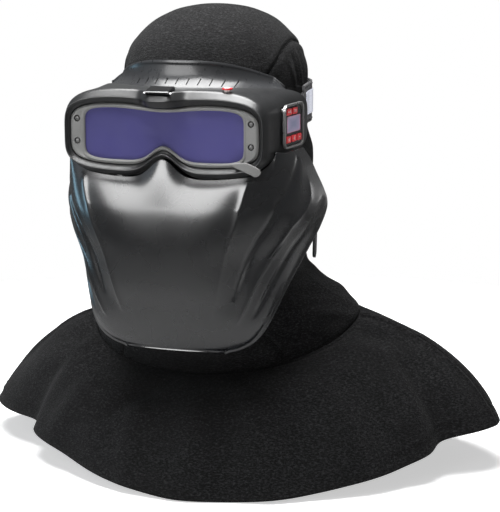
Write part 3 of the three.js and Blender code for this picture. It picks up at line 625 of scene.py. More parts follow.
def display_face():
    """A liquid crystal window, lilac in the middle and pink at its edge, with a faint painted glow in the
    same colours.
    """
    s = Shader("display_face", Coat_Weight=0.8, Coat_Roughness=0.04, Emission_Strength=0.12)
    low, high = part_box("display_window")
    middle = (low + high) / 2
    split = s.node("ShaderNodeSeparateXYZ", {"Vector": s.where}).outputs
    far = [s.math("ABSOLUTE", s.math("SUBTRACT", split[i], middle[i]), 0) for i in (1, 2)]
    edge = s.math("MAXIMUM", s.math("MULTIPLY", far[0], 60), s.math("MULTIPLY", far[1], 140))
    colour = s.ramp(edge, (0.2, (0.27, 0.28, 0.42)), (0.78, (0.42, 0.38, 0.56)), (0.98, (0.75, 0.30, 0.42)))
    s.into("Base Color", colour)
    # painted glow: the window gives off light in its own colours
    s.into("Emission Color", colour)
    s.vary("Roughness", s.noise(400, 2), 0.12, 0.22)
    return s.material


def retro_film():
    """Reflective film: small pressed cells in a pale ground, with a painted glow in place of the light that
    the film sends back.
    """
    # painted glow: pale emission stands in for the light reflected by the film
    s = Shader("reflective_film", Coat_Weight=0.4, Coat_Roughness=0.1, Emission_Strength=0.45,
               Emission_Color=(0.58, 0.60, 0.70, 1))
    cell = s.cells(620, feature="DISTANCE_TO_EDGE")
    s.into("Base Color", s.ramp(cell, (0.02, (0.50, 0.52, 0.60)), (0.12, (0.78, 0.80, 0.88))))
    s.vary("Roughness", s.noise(300, 3), 0.3, 0.46)
    s.into("Normal", s.bump(cell, 0.08, 0.5))
    return s.material


def clear_plate(name, colour):
    s = Shader(name, Transmission_Weight=0.75, IOR=1.5)
    s.vary("Base Color", s.noise(20, 2), colour, tint(colour, 1.12))
    s.vary("Roughness", s.noise(150, 3), 0.05, 0.11)
    return s.material


KNIT = knit_cloth()
ELASTIC = webbing("heather_elastic", (0.018, 0.018, 0.020), (0.12, 0.12, 0.125), 260)
TAPE = webbing("black_tape", (0.006, 0.006, 0.0065), (0.022, 0.022, 0.024), 300)
THREAD = moulded("black_thread", (0.016, 0.016, 0.017), 0.7, 0.1, 0.2, 0.05)
HOUSING = moulded("charcoal_housing", (0.017, 0.0175, 0.0185), 0.36, 0.05, 0.3, 0.02, Specular_IOR_Level=0.7)
SEAL = moulded("seal_rubber", (0.030, 0.031, 0.033), 0.3, 0.05, 0.5, 0.02, coat=0.15)
FRAME_GREY = moulded("frame_grey", (0.215, 0.215, 0.210), 0.4, 0.05, 0.3, 0.02)
SENSOR = moulded("sensor_grey", (0.14, 0.14, 0.138), 0.42, 0.04, 0.3, 0.01)
BLACK = moulded("black_plastic", (0.012, 0.012, 0.013), 0.22, 0.05, 0.4, 0.01, coat=0.4)
SILVER = moulded("silver_bezel", (0.30, 0.30, 0.30), 0.3, 0.04, 0.5, 0.003, Metallic=0.6)
RED = moulded("red_plastic", (0.86, 0.035, 0.045), 0.3, 0.05, 0.4, 0.01, coat=0.3)
WHITE = moulded("white_plastic", (0.78, 0.70, 0.68), 0.3, 0.05, 0.4, 0.01, coat=0.3)
BOARD = moulded("board_green", (0.010, 0.085, 0.035), 0.5, 0.08, 0.6, 0.03)
STEEL = metal("bright_steel", (0.66, 0.66, 0.67), 0.2, (0.1, 1, 1))
SHIELD = shield_gloss()
LENS = lens_tint()
DISPLAY = display_face()
FILM = retro_film()
CLEAR = clear_plate("clear_cover", (0.72, 0.73, 0.80))


# ---- hood and cape ----

def crease(angle, height, line, size=1.5):
    """A soft ridge or valley on cloth: line is (angle, height, angle, height, width, rise)."""
    a0, z0, a1, z1, width, rise = line
    far, along = off_line(angle * size, height, a0 * size, z0, a1 * size, z1)
    return rise * hump(far, 0, width) * (0.55 + 0.45 * np.sin(math.pi * along))


# Pleats where the cap is gathered over each ear, and soft folds above the goggles.
CROWN_CREASES = [
    (76, -52, 80, -74, 2.6, 1.3), (82, -49, 85, -74, 2.4, -1.5), (88, -48, 90, -74, 2.8, 1.6),
    (94, -50, 95, -74, 2.4, -1.4), (101, -52, 100, -74, 3.0, 1.3), (108, -56, 106, -74, 2.5, -1.0),
    (57, -58, 66, -44, 3.5, 0.9), (-60, -58, -72, -42, 3.5, 0.9), (-84, -50, -86, -74, 2.6, -1.3),
    (-92, -50, -93, -74, 2.8, 1.2), (30, -52, 52, -57, 4.0, 0.6), (-20, -49, -48, -54, 4.0, 0.6),
    (140, -50, 150, -72, 4, 1.0), (178, -48, 176, -72, 4, -0.9), (-150, -50, -145, -72, 4, 1.0)]


def arch_edge():
    """The seam round each ear, seen from the side, as y and height."""
    ends = np.array([(-66, -90), (-66, -60), (-26, -36), (5, -36), (36, -36), (76, -60), (76, -90)], float)
    t = np.linspace(0, 1, 80)[:, None]
    u = 1 - t
    bend = lambda a, b, c, d: u ** 3 * a + 3 * t * u ** 2 * b + 3 * t * t * u * c + t ** 3 * d
    return np.concatenate([bend(*ends[0:4]), bend(*ends[3:7])[1:]])


def near_arch(points):
    """How far each point lies outside the ear seam, in millimetres, seen from the side."""
    edge = arch_edge()
    y, z = points[..., 1], points[..., 2]
    far = np.full(y.shape, 1e9)
    for a, b in zip(edge[:-1], edge[1:]):
        far = np.minimum(far, off_line(y, z, *a, *b)[0])
    top = np.interp(y, edge[:, 0], edge[:, 1], left=-1e3, right=-1e3)
    return np.where(z < top, -far, far)


def pick_faces(name, outer, depth, keep):
    """The faces of a closed-round sheet where keep is true at their first corner, given thickness."""
    n, m, _ = outer.shape
    faces = []
    for i in range(n):
        a, b = i * m, ((i + 1) % n) * m
        faces += [(a + j, b + j, b + j + 1, a + j + 1) for j in range(m - 1) if keep[i, j]]
    used = sorted({v for f in faces for v in f})
    place = {v: k for k, v in enumerate(used)}
    normal = normals_of(outer, True)
    normal[:, 0] = (0, 0, 1)
    verts = np.concatenate([sheet.reshape(-1, 3)[used] for sheet in (outer, outer - normal * depth)])
    count = len(used)
    front = [tuple(place[v] for v in f) for f in faces]
    edges = dict.fromkeys(edge for f in front for edge in zip(f, f[1:] + f[:1]))
    walls = [(b, a, a + count, b + count) for a, b in edges if (b, a) not in edges and a != b]
    back = [tuple(v + count for v in reversed(f)) for f in front]
    return build(name, metres(verts), front + back + walls)


def make_crown():
    """The cap in three panels, with a sunk seam round each ear."""
    round_ = np.linspace(-math.pi, math.pi, 420, endpoint=False)
    a, v = np.meshgrid(round_, np.linspace(0, 1, 150), indexing="ij")
    base = crown_point(a, v)
    normal = normals_of(base, True)
    normal[:, 0] = (0, 0, 1)
    beyond = near_arch(base)
    degrees, z = np.degrees(a), base[..., 2]
    rise = -1.3 * hump(beyond, 0, 1.5) + 0.5 * hump(np.abs(beyond), 5, 3.5)
    rise = rise + sum(crease(degrees, z, line) for line in CROWN_CREASES)
    rise = rise + 0.45 * grain(base[..., 0] + base[..., 1], z - 0.4 * base[..., 1], 46, 3) * ease(v * 3)
    outer = base + normal * (rise - 0.4)[..., None]
    side = np.sign(base[..., 0])
    ear = (beyond < 0) & (np.abs(base[..., 0]) > 20)
    for name, keep in (("crown_panel", ~ear), ("side_panel_left", ear & (side > 0)),
                       ("side_panel_right", ear & (side < 0))):
        cloth(pick_faces(name + "_cloth", outer, FABRIC, keep), name)


def cloth(piece, cad):
    """Finishes one sheet of knit: its material and its body.

    Its flat size, a rectangle from the hanging panel's size which the panel fills by a third or more, is
    worked out here but not kept.
    """
    both_sides = 2.06  # a sheet's whole surface, with its edges, against its flat area
    least_width, spare, least_filled = 0.7, 1.02, 0.32
    settle(piece, "hood", KNIT, "knit", cad)
    area = sum(f.area for f in piece.data.polygons) / both_sides
    size = sorted(piece.dimensions, reverse=True)
    width = max(size[1], math.sqrt(area) * least_width)
    length = max(size[0], area / width * spare)
    width = min(width, area / length / least_filled)


# Folds of the hood below the strap and over the shoulders: angle, height, angle, height, width, rise.
NECK_CREASES = [
    (78, -112, 84, -150, 4.5, 1.5), (88, -111, 93, -148, 4, -1.4), (99, -112, 102, -160, 5, 1.6),
    (112, -112, 110, -150, 4.5, -1.2), (126, -112, 130, -170, 6, 1.6), (150, -112, 148, -165, 6, -1.3),
    (170, -112, 172, -175, 7, 1.6), (-80, -112, -84, -150, 4.5, 1.5), (-95, -112, -98, -155, 5, -1.3),
    (-110, -112, -112, -150, 5, 1.3), (-132, -112, -134, -170, 6, 1.5), (-156, -112, -158, -165, 6, -1.3),
    (48, -262, 84, -282, 6, 2.4), (62, -252, 100, -263, 5, -1.8), (80, -238, 112, -243, 5, 2.2),
    (96, -224, 122, -229, 4.5, -1.6), (40, -280, 60, -300, 6, -1.6), (100, -256, 128, -270, 6, 2.0),
    (-48, -262, -86, -286, 6, 2.2), (-66, -250, -104, -266, 5, -1.8), (-84, -236, -116, -246, 5, 2.0),
    (135, -232, 165, -240, 7, 2.2), (-135, -232, -165, -240, 7, 2.2), (150, -252, 180, -262, 7, -1.8),
    (-14, -300, 22, -303, 6, 1.4), (-30, -290, -6, -296, 5, -1.2)]


def neck_surface(a, v):
    base = neck_point(a, v)
    degrees, z = np.degrees(a), base[..., 2]
    rise = sum(crease(degrees, z, line) for line in NECK_CREASES)
    rise = rise + 0.8 * grain(degrees * 1.5, z, 60, 5) * ease(v * 4) * ease((1 - v) * 5 + 0.2)
    rise = rise - 1.1 * hump(v, 1.0, 0.012) + 0.7 * hump(v, 0.968, 0.02)  # the collar seam
    for seam in (FACE_HALF, -FACE_HALF):  # the seams beside the throat
        low = ease((v - FACE_BOTTOM) * 30)
        rise = rise - low * (1.2 * hump(degrees, seam, 0.9) - 0.5 * hump(np.abs(degrees - seam), 3.6, 2.2))
    rise = rise - 1.2 * hump(np.abs(degrees), 180, 0.9)  # the seam down the back
    return base + normals_of(base) * (rise - 0.3)[..., None]


def make_neck():
    for side, name in ((1, "neck_panel_left"), (-1, "neck_panel_right")):
        a, v = grid(math.radians(FACE_HALF) * side, math.radians(180.12) * side, 260, 0, 1, 190)
        cloth(skin(name + "_cloth", neck_surface(a, v), FABRIC), name)
    reach = math.radians(FACE_HALF + 0.1)
    a, v = grid(-reach, reach, 130, FACE_BOTTOM, 1, 90)
    cloth(skin("throat_panel_cloth", neck_surface(a, v), FABRIC), "throat_panel")


def make_face_binding():
    half, low = math.radians(FACE_HALF - 2), FACE_BOTTOM
    inner = half * 0.67
    corners = [(-half, 0.03), (-half, low - 0.02), (-inner, low - 0.012), (inner, low - 0.012),
               (half, low - 0.02), (half, 0.03), (inner, 0.018), (-inner, 0.018)]
    path = []
    for (a0, v0), (a1, v1) in zip(corners, corners[1:] + corners[:1]):
        t = np.linspace(0, 1, 26, endpoint=False)
        path.append(neck_point(mix(a0, a1, t), mix(v0, v1, t)))
    path = np.concatenate(path)
    path[:, :2] *= 1 - 1.1 / np.linalg.norm(path[:, :2], axis=1, keepdims=True)
    for _ in range(12):
        path = (np.roll(path, 1, 0) + 2 * path + np.roll(path, -1, 0)) / 4
    settle(tube("face_binding_cord", path, 1.5, 12), "hood", THREAD, "elastic", "face_binding")


# Small creases over the shoulders: angle, share of the way to the hem, angle, share, width, rise.
CAPE_CREASES = [
    (76, 0.10, 86, 0.34, 0.05, 2.2), (66, 0.14, 80, 0.44, 0.05, -2.0), (88, 0.40, 92, 0.85, 0.06, 2.0),
    (-70, 0.12, -80, 0.40, 0.05, 2.4), (-62, 0.20, -72, 0.55, 0.05, -2.4), (-88, 0.40, -84, 0.75, 0.05, 2.2),
    (20, 0.12, 40, 0.50, 0.05, 3.4), (-10, 0.12, -32, 0.60, 0.05, 4.2), (4, 0.28, 6, 0.95, 0.06, -5.0),
    (46, 0.30, 54, 0.95, 0.05, -4.4), (60, 0.40, 64, 1.0, 0.045, 3.6), (-44, 0.40, -50, 1.0, 0.05, -4.4),
    (22, 0.35, 27, 0.98, 0.05, -4.0), (-18, 0.4, -16, 0.98, 0.05, -3.8), (35, 0.4, 39, 0.98, 0.045, 3.0),
    (130, 0.1, 140, 0.6, 0.07, 2.0), (165, 0.1, 160, 0.7, 0.08, -2.0), (-130, 0.1, -138, 0.6, 0.07, 2.0)]


def cape_surface(a, v):
    base = cape_point(a, v)
    degrees = np.degrees(a)
    wrapped = (degrees + 180) % 360 - 180
    rise = sum(crease(wrapped, v * 100, (c[0], c[1] * 100, c[2], c[3] * 100, c[4] * 100, c[5]), 1.0)
               for c in CAPE_CREASES)
    rise = rise + 1.2 * grain(base[..., 0], base[..., 1], 90, 8) * ease(v * 3) * ease((1 - v) * 4)
    rise = rise - 0.9 * hump(v, 0.0, 0.012) + 0.6 * hump(v, 0.03, 0.02)  # the collar seam
    rise = rise - 0.7 * hump(v, 0.905, 0.006) + 0.35 * hump(v, 0.95, 0.03)  # the hem
    seam = np.minimum(np.abs(wrapped - 90), np.abs(wrapped + 90))
    rise = rise - 1.2 * hump(seam, 0, 0.7) + 0.6 * hump(seam, 2.6, 1.6)
    return base + normals_of(base) * (rise - 0.2)[..., None]


def make_cape():
    rows, hem_rows = 150, (136, 138)
    for name, low, high, steps in (("cape_front", -90.06, 90.06, 560), ("cape_back", 89.94, 270.06, 460)):
        a, v = grid(math.radians(low), math.radians(high), steps, 0, 1, rows)
        surface = cape_surface(a, v)
        cloth(skin(name + "_cloth", surface, FABRIC), name)
        normal = normals_of(surface)
        for row, k in enumerate(hem_rows, 1):
            sewn = stitches(f"{name}_hem_stitch_{row}", surface[4:-4, k], normal[4:-4, k], 3.6, 2.5, 0.28)
            settle(sewn, "hood", THREAD, "elastic")
    points = cape_surface(*grid(-math.pi, math.pi, 700, 0.025, 0.045, 3))
    sewn = stitches("collar_stitch", points[2:-2, 1], normals_of(points)[2:-2, 1], 3.4, 2.4, 0.28)
    settle(sewn, "hood", THREAD, "elastic")


def make_neck_tab():
    """The hood's pull tab: a bowed tape with a round end, hanging below the strap."""
    turn = math.radians(-84)
    long, half, thick = 64, 6, 1.9
    r, x = grid(0, long, 90, -1, 1, 15)
    beyond = r - (long - half)
    wide = x * np.where(beyond < 0, half, np.sqrt(np.maximum(half ** 2 - beyond ** 2, 0.02)))
    bow = 0.5 * np.sin(r / long * math.pi) + 0.15 * np.cos(x * math.pi)
    place = lambda depth: stack(
        88.6 + wide * math.cos(turn) + (depth + bow) * math.sin(-turn) - thick,
        14 + wide * math.sin(turn) + (depth + bow) * math.cos(turn) * 0.1, -166 - r)
    loop = np.concatenate([place(thick), place(0)[:, ::-1]], 1)
    uv = np.stack([np.concatenate([r, r[:, ::-1]], 1), np.concatenate([wide, wide[:, ::-1]], 1)], -1) * MM
    piece = loft("neck_tab_tape", loop, False, uv)
    soften(piece, 0.3)
    settle(piece, "hood", TAPE, "elastic", "neck_tab")


# ---- goggles ----

LATCH = dict(half=10, rear=-130.8, floor=-73.4, pin_y=-144.6, pin_z=-71.4)
POWER = (54, -128.4, -68.9)
CLIP = (50, -121, -138.4)
TEMPLE = (92.1, -76, -101)
TURN = math.radians(3.8)


def swell(y):
    """The front edge swells forward at the middle of the brow to carry the latch."""
    return lambda x, z: FRONT_Y + y - np.where(z > -105, 12 * np.exp(-(x / 16) ** 4), 0)


def waist_y(x, _z):
    """Halfway from the front edge of the goggles to their rear edge."""
    return (FRONT_Y + 8 + rear_y(x)) / 2


def temple(side, size):
    """A cutting block through the wall at a temple, its size across the wall, along it and up."""
    return block(size, (side * TEMPLE[0], TEMPLE[1], TEMPLE[2]), (0, 0, -side * TURN), 4)


def make_housing():
    chamfer = dict(RIM, half=85.4, top=-76.2, bottom=-136.4, power=4.3, arch=14.5, arch_width=16, dip=2.2,
                   dip_width=28)
    piece = ring("goggle_housing_shell", [
        (FRAME, 0.5, 6.6, 0), (FRAME, 0.5, swell(2.4), 0.8), (FRAME, 1.9, swell(1.6), 0.8),
        (chamfer, -0.2, swell(-0.9), 0.8), (chamfer, 0.8, swell(-1.2), 0.9), (RIM, -0.9, swell(3.6), 1.6),
        (RIM, 0, 8, 4), (WAIST, 0, waist_y, 12), (REAR, 0, rear_y, 0.9), (REAR, -WALL, rear_y, 0.6),
        (WAIST, -WALL, waist_y, 8), (RIM, -WALL, 9.6, 1), (FRAME, 1.5, 9, 0.5), (WINDOW, 2.6, 9, 0),
        (WINDOW, 2.6, 6.6, 0)])
    cutters = [
        block((2 * LATCH["half"] + 1.2, 30, 20), (0, LATCH["rear"] - 14.6, LATCH["floor"] + 10)),
        block((25, 20, 20), (0, LATCH["pin_y"] - 8.6, LATCH["pin_z"] + 8.8)), rod(3.1, 12, POWER)]
    cutters += [block((8, 10, 12), (x, CLIP[1] - 1.2, CLIP[2])) for x in (CLIP[0], -CLIP[0])]
    cutters += [temple(1, (20, 40, 32)), temple(-1, (20, 27, 26))]
    carve(piece, cutters, 0.4)
    settle(piece, "goggles", HOUSING, "housing", "goggle_housing")


def make_lens_frame():
    back = 6.2
    piece = ring("lens_frame_bezel", [
        (WINDOW, 0.1, 3.2, 0.2), (WINDOW, 0.1, 1.9, 0.7), (WINDOW, 1.4, 0.9, 0.8), (WINDOW, 2.6, 1.3, 0.6),
        (FRAME, -1.6, 0.8, 0.8), (FRAME, 0, 2.2, 0.8), (FRAME, 0, back, 0.3), (WINDOW, 3, back, 0.2),
        (WINDOW, 3, 3.2, 0)])
    sensors = [(x, FRONT_Y + 1, z) for x in (75.6, -75.6) for z in (-95, -113.5)]
    holes = [rod(2.75, 8, at, (math.pi / 2, 0, 0)) for at in sensors]
    carve(piece, holes, 0.35)
    settle(piece, "window", FRAME_GREY, "frame_grey", "lens_frame")
    outline = [(59.5, -126.9), (66, -126.2), (73, -125.6), (79, -127.6), (84.2, -130.4), (85.6, -132.6),
               (84.6, -134.8), (82.5, -136.4), (80, -137), (77.4, -135.6), (70, -132.6), (62.5, -129.6)]
    bm = bmesh.new()
    low = [bm.verts.new(metres((x, FRONT_Y - 3.7, z))) for x, z in outline]
    high = [bm.verts.new(metres((x, FRONT_Y + (-1.9 if x > 67 else 1.8), z))) for x, z in outline]
    bm.faces.new(low)
    bm.faces.new(high[::-1])
    for k in range(len(outline)):
        n = (k + 1) % len(outline)
        bm.faces.new((low[k], low[n], high[n], high[k]))
    bmesh.ops.recalc_face_normals(bm, faces=bm.faces)
    tab = put_bmesh("lens_frame_tab", bm)
    soften(tab, 0.7, 4, 20)
    settle(tab, "window", FRAME_GREY, "frame_grey")


def make_brow_seal():
    s, v = grid(-1, 1, 361, 0, 1, 40)
    x = 79 * s
    high = (REAR["top"] - REAR["bottom"]) / 2
    edge_z = REAR["top"] - high + high * (1 - (np.abs(x) / REAR["half"]) ** 5) ** 0.2
    base = stack(x, rear_y(x) + 0.8, edge_z - 0.2)
    lip_z = -48 - 23 * np.abs(s) ** 3
    up = clamp((lip_z - HEAD["wall"]) / (HEAD["top"] - HEAD["wall"]))
    share = (1 - up ** HEAD["power"]) ** (1 / HEAD["power"])
    head_y = -HEAD["front"] * share * np.sqrt(1 - np.minimum(0.999, np.abs(x) / (HEAD["half"] * share)) ** 2)
    lip = stack(x * 0.99, np.minimum(head_y - 4.6, -50), lip_z)
    points = mix(base, lip, v[..., None])
    hollow = 2.5 * np.sin(math.pi * v)
    fold = 0.5 * hump(v, 0.93, 0.05)
    points[..., 1] += hollow - fold
    points[..., 2] -= 0.7 * hollow
    inner = points + np.array([0, 2.0, -0.7])
    piece = loft("brow_seal_skirt", np.concatenate([points, inner[:, ::-1]], 1), False)
    slits = [block((0.8, 24, 5.2), (at, rear_y(at) + 4, -65.0 - 0.0011 * at * at), (0, math.radians(16), 0))
             for at in (9.4 * k + 1 for k in range(-4, 6))]
    carve(piece, slits, 0.3)
    settle(piece, "goggles", SEAL, "seal", "brow_seal")


def make_face_gasket():
    face_y = lambda x, _z: -103 * np.sqrt(1 - (x / 88) ** 2)
    before = lambda y, gap: lambda x, z: y(x, z) - gap
    piece = ring("face_gasket_pad", [
        (REAR, -9, before(rear_y, 4.6), 0.5), (CUSHION, 0.8, face_y, 0.7),
        (CUSHION, -1.4, before(face_y, 1.6), 0.7), (REAR, -12, before(rear_y, 6.2), 0.5)], 240)
    settle(piece, "goggles", SEAL, "seal", "face_gasket")


# ---- face shield ----

# Flutes in each side of the shield: width and rise in millimetres, then points along the flute, each
# as a turn in degrees and a share of the way down.
FLUTES = [
    (1.6, 1.3, [(38, 0.04), (33, 0.20), (30.5, 0.40), (29, 0.66)]),
    (9.0, -1.6, [(60, 0.04), (45, 0.20), (40, 0.40), (37, 0.62)]),
    (2.6, -1.7, [(71, 0.05), (49, 0.18), (43, 0.37), (40, 0.58)]),
    (2.2, 1.6, [(74, 0.13), (57, 0.31), (51, 0.50), (47, 0.70)]),
    (4.5, -1.3, [(84, 0.22), (68, 0.42), (60, 0.66)])]


def from_line(across, down, points):
    """How far each place on the shield is from a bent line, in millimetres along its skin."""
    degree, tall = 1.6, 150
    best = np.full(np.shape(across * down), 1e3)
    for (a0, v0), (a1, v1) in zip(points, points[1:]):
        far, _ = off_line(across * degree, down * tall, a0 * degree, v0 * tall, a1 * degree, v1 * tall)
        best = np.minimum(best, far)
    return best


def shield_surface(turn, v):
    base = shield_point(turn, v)
    degrees = np.abs(np.degrees(turn))
    rise = 0.0
    for width, height, points in FLUTES:
        away = from_line(degrees, v, points)
        shape = np.exp((0.7 - np.sqrt(away * away + 0.5)) / width) if height > 0 else hump(away, 0, width)
        start, end = ease((v - points[0][1] + 0.05) * 9), ease((points[-1][1] + 0.08 - v) * 6)
        rise = rise + height * shape * end * start
    # The rear and bottom edges turn outwards, and the front of the top edge rises behind the goggles' rim.
    lip = 1.6 * hump(degrees, 90, 4.5) * ease((v - 0.22) * 6) + 0.7 * hump(v, 1.0, 0.022)
    tuck = (1.0 - ease(v / 0.035)) * ease((62 - degrees) / 12)
    return base + normals_of(base) * (rise + 1.5 * lip)[..., None] + stack(0 * tuck, 0.8 * tuck, 1.7 * tuck)


def make_shield():
    turn, v = grid(-math.pi / 2, math.pi / 2, 420, 0, 1, 260)
    piece = skin("face_shield_skin", shield_surface(turn, v), WALL)
    settle(piece, "shield", SHIELD, "shield", "face_shield")


# ---- strap ----

STRAP = dict(radius=81, thick=1.8, top=-72.6, bottom=-108.5, split=48)


def strap_path(t):
    r = STRAP["radius"] + STRAP["thick"] / 2
    ahead = clamp(-t)
    straight = np.stack([mix(r, 88, ahead), mix(HEAD["set_back"], -27, ahead)], -1)
    bent = np.stack([r * np.cos(t), HEAD["set_back"] + r * np.sin(t)], -1)
    return np.where((t < 0)[..., None], straight, bent)


def strap_steps(start, end, steps):
    """Points along the strap's path, the way out from the head at each, and the length of each step."""
    middle = strap_path(np.linspace(start, end, steps))
    way = np.gradient(middle, axis=0)
    length = np.linalg.norm(way, axis=1)
    return middle, np.stack([way[:, 1], -way[:, 0]], 1) / length[:, None], length


def band(name, start, end, steps, top, bottom, near, far, side=1):
    """A band along the strap's path with rounded edges, and UVs in metres along and across it."""
    middle, out, length = strap_steps(start, end, steps)
    run = np.cumsum(length)
    rows = np.linspace(0, 1, 13)
    edge = min(0.5, (far - near) / 2)
    loop = [(far, mix(top - edge, bottom + edge, k)) for k in rows]
    loop += [((near + far) / 2, bottom)] + [(near, mix(bottom + edge, top - edge, k)) for k in rows]
    loop += [((near + far) / 2, top)]
    sections = np.stack([stack(*((middle + out * d) * (side, 1)).T, z) for d, z in loop], 1)
    uv = np.stack([np.stack([run, 0 * run + z], -1) for _, z in loop], 1) * MM
    return loft(name, sections, False, uv)


def make_strap():
    h = STRAP["thick"] / 2
    split = math.radians(STRAP["split"])
    top, bottom = STRAP["top"], STRAP["bottom"]
    for name, side in (("strap_left", 1), ("strap_right", -1)):
        piece = band(name + "_web", -1, split - 0.01, 90, top, bottom, -h, h, side)
        finish_strap(piece, name, ELASTIC)
        middle, out, _ = strap_steps(-0.98, split - 0.03, 160)
        for row, z in (("upper", top - 2.6), ("lower", bottom + 2.6)):
            path, normal = stack(*((middle + out * h) * (side, 1)).T, z), stack(*(out * (side, 1)).T, 0)
            sewn = stitches(f"{name}_{row}_stitch", path, normal, 3.0, 2.1, 0.22)
            finish_strap(sewn, None, THREAD)
    back = band("strap_back_web", split, math.pi - split, 90, top, bottom, -h, h)
    settle(back, "hood", ELASTIC, "elastic", "strap_back")
    label = band("strap_label_film", -0.62, 0.28, 60, -79.5, -100.5, h + 0.3, h + 0.9)
    finish_strap(label, "strap_label", FILM)


def finish_strap(piece, cad, finish):
    """The two sides of the strap stretch between the hood and the goggles."""
    if cad:
        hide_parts(cad)
    paint(piece, finish)
    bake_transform(piece)


# ---- small hard parts kept from the CAD ----

# Material, width of the rounded edges in millimetres, and nodes.
KEPT = [
    (BLACK, 0.6, "strap_anchor_left", "strap_anchor_right"), (BLACK, 0.5, "lens_latch", "strap_slider"),
    (BLACK, 0.4, "shield_clip_left", "shield_clip_right"),
    (BLACK, 0.3, "panel_fascia", "filter_cartridge", "filter_carrier", "battery_tray"),
    (RED, 0.6, "mode_button", "set_button", "select_button", "up_button", "down_button"),
    (RED, 0.35, "power_button_ring"), (WHITE, 0.45, "power_button"), (SILVER, 0.7, "panel_bezel"),
    (DISPLAY, 0.3, "display_window"), (LENS, 0.2, "cover_lens"), (CLEAR, 0.2, "inner_cover_lens"),
    (BOARD, 0.2, "control_board"), (HOUSING, 0.6, "battery_door"), (STEEL, 0.15, "door_pin"),
    (STEEL, 0.3, "battery_cell_1", "battery_cell_2"),
    (STEEL, 0.2, "latch_pin", "carrier_screw_1", "carrier_screw_2", "carrier_screw_3", "carrier_screw_4"),
    (SENSOR, 0.2, "arc_sensor_1", "arc_sensor_2", "arc_sensor_3", "arc_sensor_4")]


def finish_kept():
    for finish, width, *names in KEPT:
        for name in names:
            paint(nodes[name], finish)
            soften(nodes[name], width, 3)


def mark(name, body, shapes, middle, out, along):
    """Small raised pictogram bars on a button: (across, up, width, height) in millimetres."""
    up = Vector((0, 0, 1)) if abs(out.z) < 0.5 else Vector((0, 1, 0))
    verts, faces = [], []
    for across, rise, width, height in shapes:
        b = len(verts)
        for depth in (-0.05, 0.14):
            for sx, sz in ((-1, -1), (1, -1), (1, 1), (-1, 1)):
                at = along * (across + sx * width / 2) + up * (rise + sz * height / 2) + out * depth
                verts.append(middle + at * MM)
        faces += [(b, b + 3, b + 2, b + 1), (b + 4, b + 5, b + 6, b + 7)]
        faces += [(b + k, b + (k + 1) % 4, b + 4 + (k + 1) % 4, b + 4 + k) for k in range(4)]
    settle(build(name, verts, faces, smooth=False), body, WHITE, "white")


MARKS = {
    "mode": [(-1.8, 0, 3.6, 0.8), (2.2, 0, 1.6, 2.2)], "set": [(x, 0, 0.8, 2.2) for x in (-2, 0, 2)],
    "select": [(0, 0.6, 3.2, 0.7), (0, -0.8, 3.2, 0.7)], "up": [(0, 0, 3, 0.8), (0, 0, 0.8, 3)],
    "down": [(0, 0, 3, 0.8)]}


def make_marks():
    out = Vector((math.cos(TURN), -math.sin(TURN), 0))
    along = Vector((math.sin(TURN), math.cos(TURN), 0))
    for body, shapes in MARKS.items():
        low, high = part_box(body + "_button")
        middle = (low + high) / 2
        reach = max((v.co - middle) @ out for v in nodes[body + "_button"].data.vertices)
        mark(body + "_mark", body, shapes, middle + out * reach, out, along)
    low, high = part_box("power_button")
    middle = (low + high) / 2
    middle.z = high.z
    mark("power_mark", "power", [(0, 0, 0.6, 2.4)], middle, Vector((0, 0, 1)), Vector((1, 0, 0)))


# ---- studio ----

def lamp(name, at, aim, size, power, colour=(1, 1, 1), height=None):
    """An area light, its size and place in metres and its power in watts."""
    light = bpy.data.lights.new(name, "AREA")
    light.shape, light.size, light.size_y = "RECTANGLE", size, height or size
    light.energy, light.color = power, colour
    piece = put(name, light)
    piece.location = at
    look(piece, aim)
    piece.visible_camera = False
    return piece


def look(piece, aim):
    piece.rotation_euler = (Vector(aim) - piece.location).to_track_quat("-Z", "Y").to_euler()


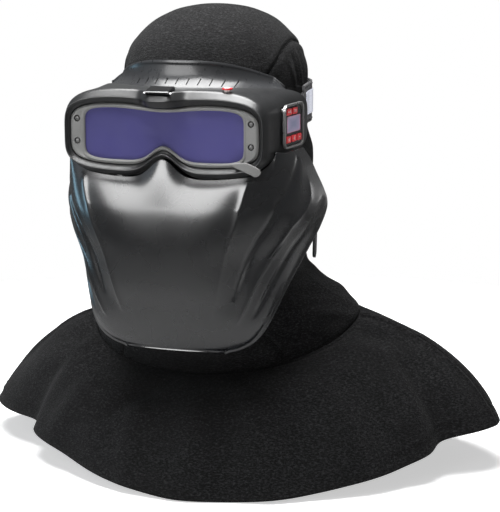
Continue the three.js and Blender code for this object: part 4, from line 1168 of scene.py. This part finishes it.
def make_floor():
    """A pale floor, which glossy surfaces reflect as a darker one."""
    bm = bmesh.new()
    bmesh.ops.create_circle(bm, cap_ends=True, segments=96, radius=0.8)
    floor = put_bmesh("floor", bm)
    floor.location = (0, 0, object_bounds()[0].z - 0.0005)
    s = Shader("pale_floor", Specular_IOR_Level=0.2, Emission_Strength=0.62)
    seen = s.node("ShaderNodeLightPath").outputs["Is Glossy Ray"]
    pale = s.ramp(s.noise(2, 2), (0.3, 0.86), (0.7, 0.9))
    away = s.node("ShaderNodeVectorMath", {0: s.where}, operation="LENGTH").outputs["Value"]
    low_key = s.ramp(away, (0.22, 0.22), (0.42, 0.12), (0.72, 0.012))
    dim = s.node("ShaderNodeMix", {0: seen, 6: pale, 7: low_key}, data_type="RGBA").outputs[2]
    s.into("Base Color", dim)
    s.into("Emission Color", dim)
    s.vary("Roughness", s.noise(5, 2), 0.75, 0.85)
    paint(floor, s.material)
    floor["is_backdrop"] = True


def make_world():
    """White where the camera sees it, and dark in the light and the reflections that it gives."""
    world = bpy.data.worlds.new("studio")
    world.use_nodes = True
    tree = world.node_tree
    path = tree.nodes.new("ShaderNodeLightPath")
    colour = None
    for ray, shade in (("Is Glossy Ray", 0.10), ("Is Camera Ray", 1.0)):
        choose = tree.nodes.new("ShaderNodeMix")
        choose.data_type = "RGBA"
        choose.inputs[6].default_value = (0.08, 0.08, 0.083, 1)
        choose.inputs[7].default_value = (shade, shade, shade, 1)
        if colour is not None:
            tree.links.new(colour, choose.inputs[6])
        tree.links.new(path.outputs[ray], choose.inputs[0])
        colour = choose.outputs[2]
    tree.links.new(colour, tree.nodes["Background"].inputs["Color"])
    bpy.context.scene.world = world


def make_studio():
    scene = bpy.context.scene
    scene.view_settings.view_transform = "Standard"
    make_floor()
    make_world()
    middle = (0.0, -0.1, -0.15)
    # One large light gives the front its highlight, and a second, unseen in reflections, its soft light.
    gleam = lamp("front_softbox", (-0.50, -1.54, 0.53), middle, 1.3, 31, height=1.3)
    gleam.visible_diffuse = False
    fill = lamp("front_fill", (-0.46, -1.56, 0.75), middle, 1.6, 4, height=1.1)
    fill.visible_glossy = False
    lamp("top_softbox", (-0.04, -0.08, 0.64), (0, 0, -0.1), 0.66, 21.5)
    lamp("left_strip", (-1.5, 0.15, -0.28), middle, 0.3, 1.7, (0.45, 0.78, 1.0), 0.8)
    lamp("left_fill", (-1.4, -0.75, 0.2), middle, 0.9, 1.2, (0.8, 0.9, 1.0), 1.0)
    lamp("right_strip", (0.42, 1.5, -0.30), middle, 0.35, 0.15, (1, 1, 1), 0.18)
    camera = bpy.data.cameras.new("camera")
    camera.lens, camera.sensor_width, camera.clip_start, camera.clip_end = 116.6, 36, 0.05, 50
    scene.camera = put("camera", camera)
    scene.camera.location = (0.4834, -1.3912, 0.0621)
    look(scene.camera, (0.0284, 0.0092, -0.2242))


for make in (make_crown, make_neck, make_face_binding, make_cape, make_neck_tab, make_housing,
             make_lens_frame, make_brow_seal, make_face_gasket, make_shield, make_strap, finish_kept,
             make_marks, make_studio):
    make()
bpy.context.view_layer.update()
